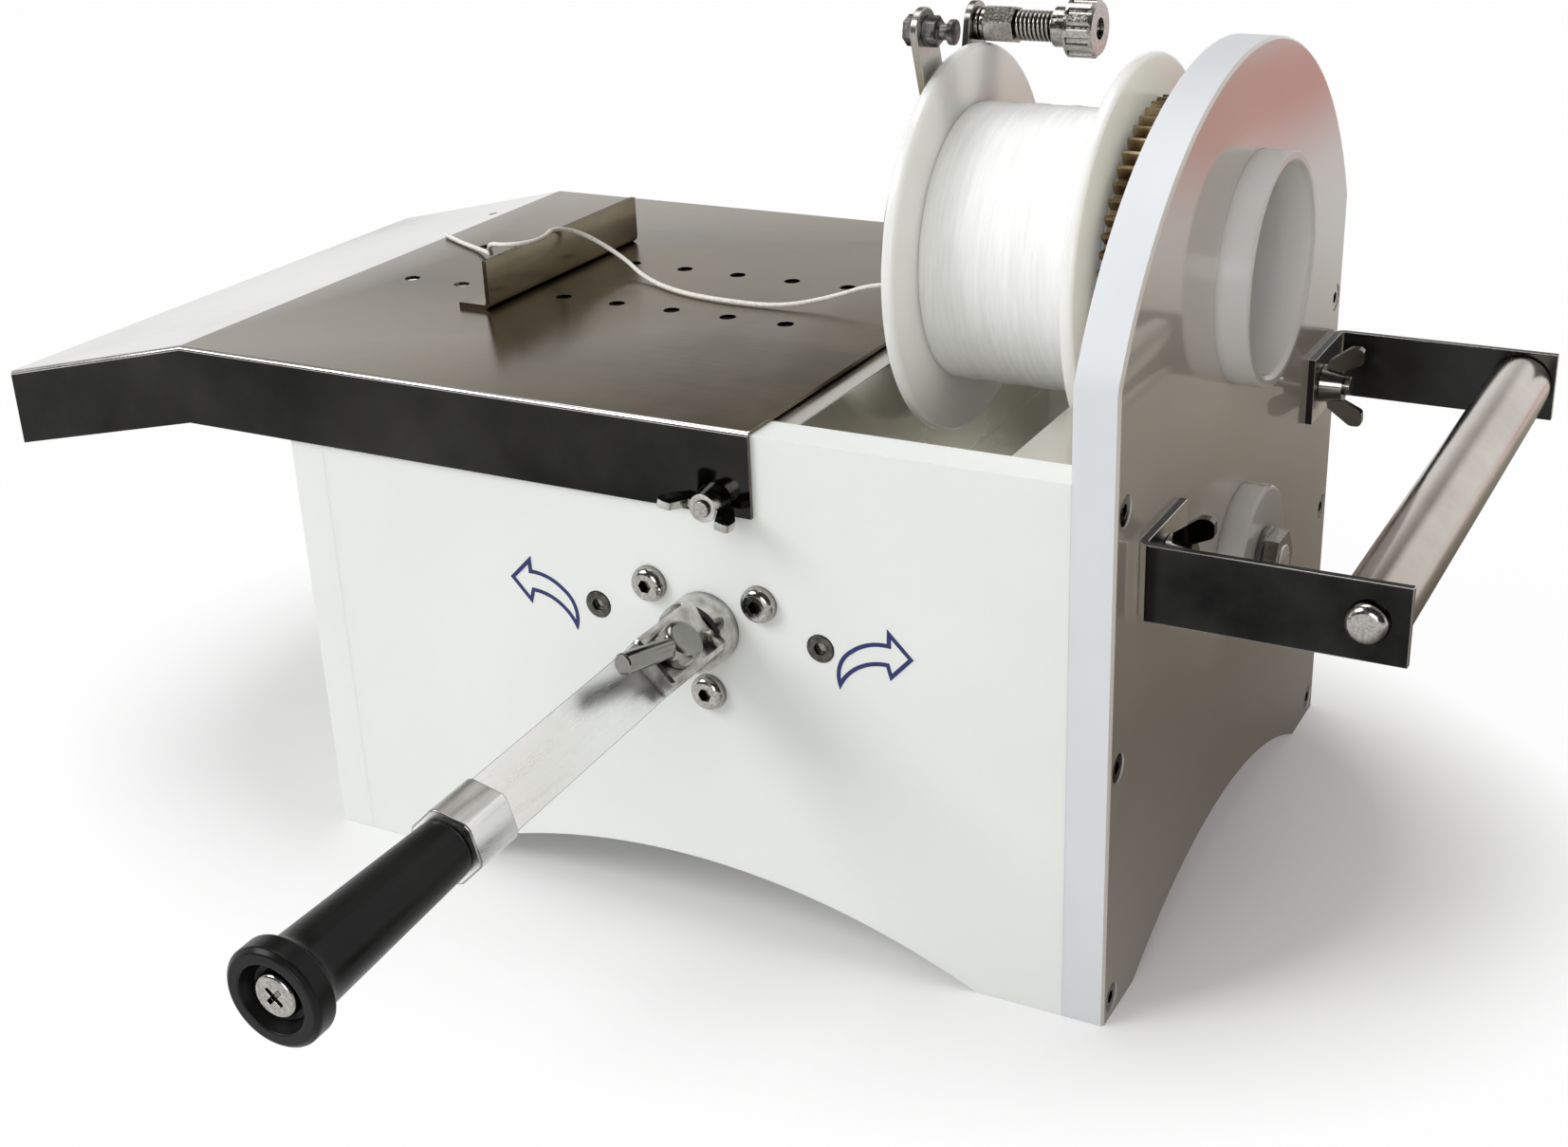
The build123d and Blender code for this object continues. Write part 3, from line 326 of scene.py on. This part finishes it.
screw_steel, tree, shader = new_finish("screw_steel")
shader.inputs["Metallic"].default_value = 1.0
turned = grain(tree, 900, (1, 1, 1), 3)
# Painted shade: the steel turns dark in its own sockets and hollows.
socket_painted_shade = (0.045, 0.038, 0.03)
turned_steel = tone(tree, turned, [(0.35, (0.34, 0.325, 0.30)), (0.65, (0.54, 0.52, 0.49))])
tree.links.new(mixed(tree, hollow_places(tree, 0.006, 0.35, 0.85), socket_painted_shade, turned_steel),
               shader.inputs["Base Color"])
tree.links.new(level(tree, turned, 0.3, 0.7, 0.08, 0.24), shader.inputs["Roughness"])
relief(tree, shader, turned, 0.00002)
for node in ("left_plate_screws", "end_plate_screws", "bearing_screws"):
    dressed(node, screw_steel, 0.0003, 2)
oily = metal("oily_dark_steel", (400, (1, 1, 1), 4), (0.05, 0.046, 0.04), (0.16, 0.15, 0.135),
             (0.22, 0.42), 0.00003)
sunk = dressed("bracket_screws", [oily, screw_steel], 0.0003, 2)
head_face = min(v.co.y for v in sunk.data.vertices)
for face in sunk.data.polygons:
    in_socket = face.normal.y < -0.9 and face.center.y > head_face + 0.001
    face.material_index = 1 if in_socket else 0


# Lever bearing and gear bracket: a flanged housing and a U-shaped bracket of milled alloy,
# screwed to the inside of the front board. The lever's shaft and the cross shaft turn in them.
alloy = metal("milled_alloy", (160, (1.0, 0.2, 1.0), 5), (0.50, 0.51, 0.52), (0.70, 0.71, 0.72),
              (0.3, 0.48), 0.00008)
for node in ("lever_bearing", "gear_bracket"):
    dressed(node, alloy, 0.0006, 2)


# Table and deck: the table is one folded sheet of stainless steel, held by studs and wing
# nuts. Its top is satin and smudged by hands, in a dark brown tone as painted reflection;
# its turned-down aprons are painted near black as painted dark reflection, and its sloping
# wing is painted pale and its folds and cut edges bright, both as painted highlight. The
# deck is a second sheet between the boards.
def sheet_steel(name, low, high, smooth, dull, drawn):
    """Sheet with smudges of two shades, brushed along the axes that are drawn out."""
    sheet, tree, shader = new_finish(name)
    shader.inputs["Metallic"].default_value = 1.0
    smudge = grain(tree, 9, (1, 1, 1), 6, 0.6)
    brushed = grain(tree, 420, drawn, 3)
    tree.links.new(tone(tree, smudge, [(0.32, low), (0.68, high)]), shader.inputs["Base Color"])
    tree.links.new(level(tree, smudge, 0.3, 0.7, smooth, dull), shader.inputs["Roughness"])
    first = relief(tree, shader, brushed, 0.00002)
    relief(tree, shader, smudge, 0.0006, 0.12, first)
    return sheet


along_x = (0.05, 1, 1)
along_y = (1, 0.05, 1)
undrawn = (1, 1, 1)
top_steel = sheet_steel("table_top_steel", (0.10, 0.082, 0.05), (0.25, 0.21, 0.145),
                        0.14, 0.28, along_x)
apron_dark_reflection_steel = sheet_steel("apron_dark_reflection_steel", (0.010, 0.010, 0.009), (0.045, 0.044, 0.042),
                          0.06, 0.16, along_x)
wing_highlight_steel = sheet_steel("wing_highlight_steel", (0.60, 0.59, 0.56), (0.90, 0.90, 0.89), 0.10, 0.3, along_x)
deck_steel = sheet_steel("deck_steel", (0.66, 0.64, 0.57), (0.88, 0.86, 0.80), 0.16, 0.34, along_y)
# Painted highlight: the table's folds and the rounded cut edges of the table, the deck and the
# rest bar's arms take this bright steel.
edge_highlight_steel = sheet_steel("painted_highlight_edge_metal", (0.50, 0.48, 0.45), (0.86, 0.85, 0.83),
                         0.12, 0.24, undrawn)
outer_bend = 0.0017
inner_bend = 0.0002
shortest_fold = 0.05
table_middle_y = 0.115


def apron_fold(edge):
    """Bend radius of an edge: only the long folds between the top and the aprons have one."""
    if len(edge.link_faces) != 2 or edge.calc_length() < shortest_fold:
        return 0.0
    top, apron = sorted((f.normal for f in edge.link_faces), key=lambda n: abs(n.y))
    if abs(top.y) > 0.3 or abs(apron.y) < 0.9 or abs(top.x) > 0.9:
        return 0.0
    off_middle_y = (edge.verts[0].co.y + edge.verts[1].co.y) / 2 - table_middle_y
    faces_outward = apron.y * off_middle_y > 0
    if top.z > 0.7 and faces_outward:
        return outer_bend
    return inner_bend if top.z < -0.7 and not faces_outward and not edge.is_convex else 0.0


table = dressed("table", [top_steel, apron_dark_reflection_steel, wing_highlight_steel], 0.0006, 2, edges=edge_highlight_steel,
                folds=apron_fold)
# Faces turned along y take the near-black apron steel as painted dark reflection, and faces that
# tilt up toward -x take the pale wing steel as painted highlight.
for face in table.data.polygons:
    if abs(face.normal.y) > 0.6 and abs(face.normal.z) < 0.3:
        face.material_index = 1
    elif face.normal.x < -0.1 and face.normal.z > 0.5:
        face.material_index = 2
dressed("deck", deck_steel, 0.0004, 2, edges=edge_highlight_steel)
for node in ("table_studs", "stop_screws"):
    dressed(node, screw_steel, 0.0003, 2)


# Stop: a strip of stainless sheet, a little thicker than the table's, folded up from a foot
# with a rounded underside at the fold. Two screws hold its foot on the table.
def drawn_outline(name, outline, start, end):
    """A closed outline in the machine's x and z drawn along y, all in millimetres."""
    mesh = bpy.data.meshes.new(name)
    rows = [[in_frame(x, y, z) for x, z in outline] for y in (start, end)]
    count = len(outline)
    sides = [(i, (i + 1) % count, count + (i + 1) % count, count + i) for i in range(count)]
    caps = [tuple(range(count))[::-1], tuple(range(count, 2 * count))]
    mesh.from_pydata(rows[0] + rows[1], [], sides + caps)
    work = bmesh.new()
    work.from_mesh(mesh)
    bmesh.ops.recalc_face_normals(work, faces=work.faces)
    work.to_mesh(mesh)
    work.free()
    mesh.shade_smooth()
    mesh.set_sharp_from_angle(angle=math.radians(32))
    piece = bpy.data.objects.new(name, mesh)
    bpy.context.scene.collection.objects.link(piece)
    return piece


def corner(x, z, radius, start, end, steps=7):
    """Points on an arc about a centre, angles in degrees."""
    turns = [math.radians(start + (end - start) * i / (steps - 1)) for i in range(steps)]
    return [(x + radius * math.cos(a), z + radius * math.sin(a)) for a in turns]


foot_left, foot_under, foot_top = -326, 210.5, 212.5
bend_x, bend_z, bend_inside, bend_outside = -313.2, 213.7, 1.2, 3.2
stop_left, stop_top, lip = -312, 231.5, 0.3
stop_outline = [(foot_left, foot_under), (foot_left, foot_top)]
stop_outline += corner(bend_x, bend_z, bend_inside, 270, 360)
stop_outline += [(stop_left, stop_top)] + corner(stop_left + 1, stop_top - lip, lip, 180, 90, 3)
stop_outline += corner(stop_left + 1.7, stop_top - lip, lip, 90, 0, 3)
stop_outline += corner(bend_x, bend_z, bend_outside, 0, -90)
stop_near, stop_far = 87.0, 204.0
stop = drawn_outline("bent_stop", stop_outline, stop_near, stop_far)
stop.data.materials.append(top_steel)
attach(stop, "frame")
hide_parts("stop")


# Wing nuts: cast and plated, with soft edges. Two bright ones, painted dark in their hollows
# as painted shade, clamp the table, and two darker ones the rest bar.
plated, tree, shader = new_finish("plated_casting")
shader.inputs["Metallic"].default_value = 1.0
cast = grain(tree, 180, (1, 1, 1), 4)
# Painted shade: the casting turns dark in its own hollows.
casting_painted_shade = (0.06, 0.053, 0.045)
nickel = tone(tree, cast, [(0.3, (0.32, 0.305, 0.28)), (0.66, (0.68, 0.67, 0.64))])
tree.links.new(mixed(tree, hollow_places(tree, 0.004, 0.3, 0.9), casting_painted_shade, nickel),
               shader.inputs["Base Color"])
tree.links.new(level(tree, cast, 0.3, 0.7, 0.06, 0.22), shader.inputs["Roughness"])
relief(tree, shader, cast, 0.00018)
dark_plated = sheet_steel("dark_plated_casting", (0.05, 0.048, 0.045), (0.42, 0.40, 0.37),
                          0.08, 0.2, undrawn)
for node in ("front_wing_nut", "back_wing_nut"):
    dressed(node, plated, 0.0009, 3)
for node in ("near_arm_nut", "far_arm_nut"):
    dressed(node, dark_plated, 0.0009, 3)


# Gear train: four cut steel gears with a film of brown grease. The pinion and the lower
# gear sit on a plain drawn shaft, with a lock nut at its outer end.
greased = metal("greased_gear_steel", (60, (1, 1, 1), 5), (0.09, 0.055, 0.02), (0.42, 0.33, 0.20),
                (0.2, 0.45), 0.0002, 0.9, (0.3, 0.68))
for node in ("drive_bevel", "bevel_pinion", "lower_gear", "spindle_gear"):
    dressed(node, greased, 0.0002, 1)
bar_steel = metal("bright_bar_steel", (320, (1, 0.06, 1), 4), (0.82, 0.82, 0.81),
                  (0.96, 0.96, 0.95), (0.24, 0.40), 0.00003)
dressed("cross_shaft", bar_steel, 0.0004, 2)
dressed("shaft_nut", screw_steel, 0.0004, 2)


# White nylon turnings: the keeper ring with its four screws, the lower shaft's flanged
# boss, the washer and the spool. They are slightly translucent and have fine lathe rings.
nylon, tree, shader = new_finish("turned_nylon")
haze = grain(tree, 12, (1, 1, 1), 3)
lathe = grain(tree, 380, (1, 0.1, 0.1), 2)
nylon_shades = [(0.3, (0.88, 0.89, 0.83)), (0.7, (0.94, 0.94, 0.89))]
tree.links.new(tone(tree, haze, nylon_shades), shader.inputs["Base Color"])
tree.links.new(level(tree, lathe, 0.3, 0.7, 0.10, 0.20), shader.inputs["Roughness"])
see_through_skin(shader, 0.7, (0.022, 0.022, 0.018))
relief(tree, shader, lathe, 0.00004)
for node in ("keeper_ring", "shaft_boss", "spool_washer", "spool_core", "spool_left_flange",
             "spool_right_flange"):
    dressed(node, nylon, 0.0006, 3)
dressed("keeper_screws", screw_steel, 0.0003, 2)


# Winding head: a nylon tube through the end board carries the gear, the hub and the flat
# steel flyer. The flyer's arms hold the blackened eyelet bolt and the tension stud.
dressed("spindle_tube", nylon, 0.0005, 3)
flyer_steel = sheet_steel("flyer_steel", (0.20, 0.19, 0.175), (0.50, 0.48, 0.45),
                          0.12, 0.3, along_y)
for node in ("flyer", "flyer_hub"):
    dressed(node, flyer_steel, 0.0005, 2)
blackened = metal("blackened_steel", (240, (1, 1, 1), 5), (0.05, 0.05, 0.05), (0.42, 0.41, 0.40),
                  (0.25, 0.42), 0.0001, 0.8, (0.4, 0.72))
dressed("eyelet_bolt", blackened, 0.0004, 2)
for node in ("tension_stud", "tension_discs", "tension_nut", "thumb_nut"):
    dressed(node, screw_steel, 0.0003, 2)


# Tension spring: eight and a half close turns of 1.3 mm wire on the stud, between the
# hexagonal nut and the thumb nut. It turns with the winding head.
head_y, head_z = 137.5, 246.5
stud_reach, stud_angle = 82, math.radians(12.4)
spring_left, spring_right = -99.34, -84.66
spring_radius, spring_wire = 5.22, 0.0013
spring_turns, steps_in_turn = 8.5, 20
spring_y = head_y + stud_reach * math.sin(stud_angle)
spring_z = head_z + stud_reach * math.cos(stud_angle)
spring_steps = int(spring_turns * steps_in_turn)
spring_places = []
for i in range(spring_steps + 1):
    angle = 2 * math.pi * i / steps_in_turn
    along = spring_left + (spring_right - spring_left) * i / spring_steps
    spring_places.append(in_frame(along, spring_y + spring_radius * math.cos(angle),
                                  spring_z + spring_radius * math.sin(angle)))
spring = round_line("coil_spring", "POLY", spring_places, spring_wire, 3, screw_steel)
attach(spring, frame["nodes"]["tension_spring"]["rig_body"])
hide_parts("tension_spring")


# Thread: white tying thread wound in close turns on the spool, a little uneven in height.
# Both ends of the winding go down to the spool's sleeve.
thread, tree, shader = new_finish("white_thread")
strand = grain(tree, 700, (1, 0.08, 0.08), 3)
thread_shades = [(0.3, (0.86, 0.86, 0.85)), (0.7, (0.95, 0.95, 0.94))]
tree.links.new(tone(tree, strand, thread_shades), shader.inputs["Base Color"])
shader.inputs["Roughness"].default_value = 0.75
see_through_skin(shader, 0.4, (0.006, 0.006, 0.006))
relief(tree, shader, strand, 0.0002)
winding_left, winding_length = -109.95, 63.9
winding_radius, sleeve_radius, strand_height = 53.35, 47.2, 0.16
rows, around = 214, 120
corners = []
for i in range(rows + 1):
    along = winding_left + winding_length * i / rows
    ridge = strand_height * abs(math.sin(math.pi * i / 2))
    heap = 0.16 * math.sin(along * 0.41) + 0.06 * math.sin(along * 1.7 + 1.0)
    for k in range(around):
        angle = 2 * math.pi * k / around
        lay = 0.10 * math.sin(3 * angle + along * 0.9) + random.uniform(-0.03, 0.03)
        reach = winding_radius + ridge + heap + lay
        if i in (0, rows):
            reach = sleeve_radius
        corners.append(in_frame(along, head_y + reach * math.cos(angle),
                                head_z + reach * math.sin(angle)))
faces = []
for i in range(rows):
    for k in range(around):
        n = (k + 1) % around
        faces.append((i * around + k, i * around + n, (i + 1) * around + n, (i + 1) * around + k))
windings = bpy.data.meshes.new("thread_windings")
windings.from_pydata(corners, [], faces)
windings.shade_smooth()
windings.materials.append(thread)
wound = bpy.data.objects.new("wound_thread_turns", windings)
bpy.context.scene.collection.objects.link(wound)
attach(wound, frame["nodes"]["wound_thread"]["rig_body"])
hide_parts("wound_thread")


# Lever: the turned shaft ends in a fork, and the satin flat bar is clamped in it by a bolt
# and a clamp head with a short tommy bar. The moulded black grip turns on the bar's end,
# between a hexagonal collar and a screw in its recess.
dressed("lever_shaft", plated, 0.0008, 3)
clamp_steel = sheet_steel("clamp_steel", (0.16, 0.155, 0.145), (0.52, 0.51, 0.49),
                          0.08, 0.22, undrawn)
dressed("clamp_handle", clamp_steel, 0.0008, 3)
# Painted shade: the collar's rounded edges take the darker clamp steel.
dressed("grip_collar", bar_steel, 0.0008, 3, edges=clamp_steel)
for node in ("hinge_bolt", "grip_screw"):
    dressed(node, screw_steel, 0.0003, 2)
satin = metal("satin_flat_bar", (320, (1, 0.06, 1), 3), (0.95, 0.95, 0.95), (0.99, 0.99, 0.99),
              (0.24, 0.34), 0.00002)
# Painted shade: the bar's rounded edges take the darker clamp steel, which outlines the bar.
dressed("lever_bar", satin, 0.0008, 2, edges=clamp_steel)
black, tree, shader = new_finish("black_grip_plastic")
moulded = grain(tree, 500, (1, 1, 1), 3)
wear = grain(tree, 30, (1, 1, 1), 5)
grip_shades = [(0.35, (0.005, 0.005, 0.005)), (0.75, (0.014, 0.014, 0.014))]
tree.links.new(tone(tree, wear, grip_shades), shader.inputs["Base Color"])
tree.links.new(level(tree, wear, 0.3, 0.7, 0.26, 0.42), shader.inputs["Roughness"])
shader.inputs["Specular IOR Level"].default_value = 0.2
relief(tree, shader, moulded, 0.00006)
dressed("grip", black, 0.0005, 3)


# Rest bar: two bent flat arms, bolted to the end board, with their sides painted near black
# as painted dark reflection and their feet and rounded edges painted pale as painted
# highlight. A rod with a domed screw at each end carries a bright roller tube.
arm_dark_reflection_steel = sheet_steel("arm_dark_reflection_steel", (0.010, 0.010, 0.010), (0.06, 0.06, 0.055),
                        0.12, 0.30, (0.08, 1, 1))
# Faces turned along x, the feet, take the pale deck steel as painted highlight.
for node in ("near_arm", "far_arm"):
    strip = dressed(node, [arm_dark_reflection_steel, deck_steel], 0.0005, 2, edges=edge_highlight_steel)
    for face in strip.data.polygons:
        if face.normal.x > 0.5 or face.normal.x < -0.3:
            face.material_index = 1
roller_steel = sheet_steel("roller_steel", (0.42, 0.38, 0.33), (0.66, 0.62, 0.57),
                           0.12, 0.24, along_y)
dressed("roller", roller_steel, 0.0006, 3)
for node in ("arm_studs", "roller_rod", "roller_screws"):
    dressed(node, screw_steel, 0.0003, 2)


# Arrows: two curved outline arrows printed on the front board beside the lever, in thin
# navy ink. They show which way the lever turns.
ink, tree, shader = new_finish("navy_ink")
patch = grain(tree, 300, (1, 1, 1), 4)
ink_shades = [(0.25, (0.020, 0.028, 0.15)), (0.7, (0.010, 0.016, 0.11))]
tree.links.new(tone(tree, patch, ink_shades), shader.inputs["Base Color"])
shader.inputs["Roughness"].default_value = 0.5
dressed("arrow_labels", ink, 0, 1)


# Studio floor: plain white, and it glows more with distance, so that it stays white round
# the machine and keeps the shadow near it. Metal and gloss see a dark carpet at the
# machine's right and a red mat beyond it, and the light that the floor throws back is dim.
def background_rays(tree):
    """One for rays that show the background: to the camera, off metal and through glass."""
    ray = tree.nodes.new("ShaderNodeLightPath")
    both = ray.outputs["Is Camera Ray"]
    for name in ("Is Glossy Ray", "Is Transmission Ray"):
        either = tree.nodes.new("ShaderNodeMath")
        either.operation = "MAXIMUM"
        tree.links.new(both, either.inputs[0])
        tree.links.new(ray.outputs[name], either.inputs[1])
        both = either.outputs[0]
    return both


def off_middle(tree, middle, stretch=(1, 1, 1)):
    """Distance on the floor from a point, in metres; it may be drawn out along x or y."""
    place = tree.nodes.new("ShaderNodeTexCoord")
    moved = tree.nodes.new("ShaderNodeMapping")
    moved.inputs["Scale"].default_value = stretch
    moved.inputs["Location"].default_value = [-m * k for m, k in zip(middle, stretch)]
    reach = tree.nodes.new("ShaderNodeVectorMath")
    reach.operation = "LENGTH"
    tree.links.new(place.outputs["Object"], moved.inputs["Vector"])
    tree.links.new(moved.outputs["Vector"], reach.inputs[0])
    return reach.outputs["Value"]


floor_size = 9
floor_white = (0.94, 0.94, 0.94)
dark_bounce, pale_bounce = (0.15, 0.125, 0.095), (0.46, 0.45, 0.43)
carpet_shades = [(0.05, (0.03, 0.022, 0.014)), (0.40, (0.34, 0.31, 0.26)),
                 (0.75, (0.80, 0.74, 0.66))]
mat_red = (0.78, 0.22, 0.18)
carpet_middle, darkest_spot, mat_middle = (0.55, 0.35, 0), (0.3, 0.1, 0), (0.64, 1.6, 0)
body_middle, body_stretch = (0.0, 0.11, 0), (4.76, 7.14, 1)
floor_mesh = bpy.data.meshes.new("floor")
floor_corners = [(-floor_size, -floor_size, 0), (floor_size, -floor_size, 0),
                 (floor_size, floor_size, 0), (-floor_size, floor_size, 0)]
floor_mesh.from_pydata(floor_corners, [], [(0, 1, 2, 3)])
floor = bpy.data.objects.new("floor", floor_mesh)
bpy.context.scene.collection.objects.link(floor)
paper, tree, shader = new_finish("pale_floor")
shader.inputs["Roughness"].default_value = 0.9
shader.inputs["Specular IOR Level"].default_value = 0.1
off_body = off_middle(tree, body_middle, body_stretch)
glow_share = tree.nodes.new("ShaderNodeMath")
glow_share.operation = "MULTIPLY"
tree.links.new(background_rays(tree), glow_share.inputs[0])
tree.links.new(level(tree, off_body, 1.28, 1.78, 0.16, 0.96), glow_share.inputs[1])
off_carpet = off_middle(tree, carpet_middle, (1, 0.7, 1))
off_mat = off_middle(tree, mat_middle, (1, 0.2, 1))
beyond_carpet = level(tree, off_carpet, 0.30, 0.62, 0.0, 1.0)
beyond_mat = level(tree, off_mat, 0.05, 0.16, 0.0, 1.0)
off_darkest = level(tree, off_middle(tree, darkest_spot), 0.0, 1.4, 0.0, 1.0)
bounce = mixed(tree, beyond_carpet, dark_bounce, pale_bounce)
carpet = mixed(tree, beyond_carpet, tone(tree, off_darkest, carpet_shades), floor_white)
carpet = mixed(tree, beyond_mat, mat_red, carpet)
glossy = tree.nodes.new("ShaderNodeLightPath").outputs["Is Glossy Ray"]
shown = mixed(tree, glossy, floor_white, carpet)
tree.links.new(mixed(tree, background_rays(tree), bounce, shown), shader.inputs["Base Color"])
glow = tree.nodes.new("ShaderNodeEmission")
tree.links.new(mixed(tree, glossy, (1.0, 1.0, 1.0), carpet), glow.inputs["Color"])
blend = tree.nodes.new("ShaderNodeMixShader")
tree.links.new(glow_share.outputs[0], blend.inputs["Fac"])
tree.links.new(shader.outputs["BSDF"], blend.inputs[1])
tree.links.new(glow.outputs["Emission"], blend.inputs[2])
out = next(n for n in tree.nodes if n.type == "OUTPUT_MATERIAL")
tree.links.new(blend.outputs["Shader"], out.inputs["Surface"])
floor_mesh.materials.append(paper)


# Studio room: pale light comes from the left and the front, dim brown light from the right
# and from behind. Metal sees white walls at eye level under a dim ceiling, a dark wall in
# front, on the camera's side, and one white screen high behind the machine.
room_light, brown_light = (0.74, 0.76, 0.76), (0.15, 0.125, 0.10)
white = (1.0, 1.0, 1.0)
pale_ceiling, brown_ceiling = (0.36, 0.35, 0.33), (0.16, 0.145, 0.12)
dark_wall = (0.05, 0.05, 0.05)
world = bpy.data.worlds.new("studio")
bpy.context.scene.world = world
world.use_nodes = True
tree = world.node_tree
tree.nodes.clear()
sky = tree.nodes.new("ShaderNodeTexCoord").outputs["Generated"]


def toward(direction, start, end):
    """Rises from zero to one as a ray turns toward a direction; the limits are cosines."""
    along = tree.nodes.new("ShaderNodeVectorMath")
    along.operation = "DOT_PRODUCT"
    tree.links.new(sky, along.inputs[0])
    along.inputs[1].default_value = Vector(direction).normalized()
    return level(tree, along.outputs["Value"], start, end, 0.0, 1.0)


fill = tree.nodes.new("ShaderNodeBackground")
fill.inputs["Strength"].default_value = 1.0
right_side = toward((0.86, 0.50, -0.1), -0.6, 0.5)
tree.links.new(mixed(tree, right_side, room_light, brown_light), fill.inputs["Color"])
over_eye_level = toward((0, 0, 1), 0.24, 0.47)
seen_in_table = toward((-0.45, 0.80, 0.38), 0.78, 0.93)
camera_side = toward((0.2, -1, 0.15), 0.15, 0.45)
screen = toward((0.45, 0.76, 0.47), 0.86, 0.93)
ceiling = mixed(tree, seen_in_table, pale_ceiling, brown_ceiling)
walls = mixed(tree, over_eye_level, white, ceiling)
walls = mixed(tree, camera_side, walls, dark_wall)
walls = mixed(tree, screen, walls, white)
glossy = tree.nodes.new("ShaderNodeLightPath").outputs["Is Glossy Ray"]
room = tree.nodes.new("ShaderNodeBackground")
room.inputs["Strength"].default_value = 1.0
tree.links.new(mixed(tree, glossy, white, walls), room.inputs["Color"])
pick = tree.nodes.new("ShaderNodeMixShader")
tree.links.new(background_rays(tree), pick.inputs["Fac"])
tree.links.new(fill.outputs["Background"], pick.inputs[1])
tree.links.new(room.outputs["Background"], pick.inputs[2])
out = tree.nodes.new("ShaderNodeOutputWorld")
tree.links.new(pick.outputs["Shader"], out.inputs["Surface"])


# Lamps: a broad soft key from the left front, a weaker one low in front, a little to the
# right, and a round one overhead. Each is aimed at the machine's middle.
machine_middle = Vector((0, 0, 0.12))


def lamp(name, kind, place, size, power):
    """A soft round lamp, or a far one whose size is the angle in degrees that it covers."""
    data = bpy.data.lights.new(name, kind)
    if kind == "SUN":
        data.angle = math.radians(size)
    else:
        data.shape = "DISK"
        data.size = size
    data.energy = power
    obj = bpy.data.objects.new(name, data)
    bpy.context.scene.collection.objects.link(obj)
    obj.rotation_euler = (machine_middle - Vector(place)).to_track_quat("-Z", "Y").to_euler()
    obj.location = place


lamp("key", "SUN", (-1.5, -1.35, 1.55), 28, 1.2)
lamp("front", "SUN", (0.32, -1.7, 0.5), 26, 0.75)
lamp("top", "AREA", (-0.3, 0.3, 2.1), 1.2, 9)

bpy.context.scene.view_settings.view_transform = "Standard"
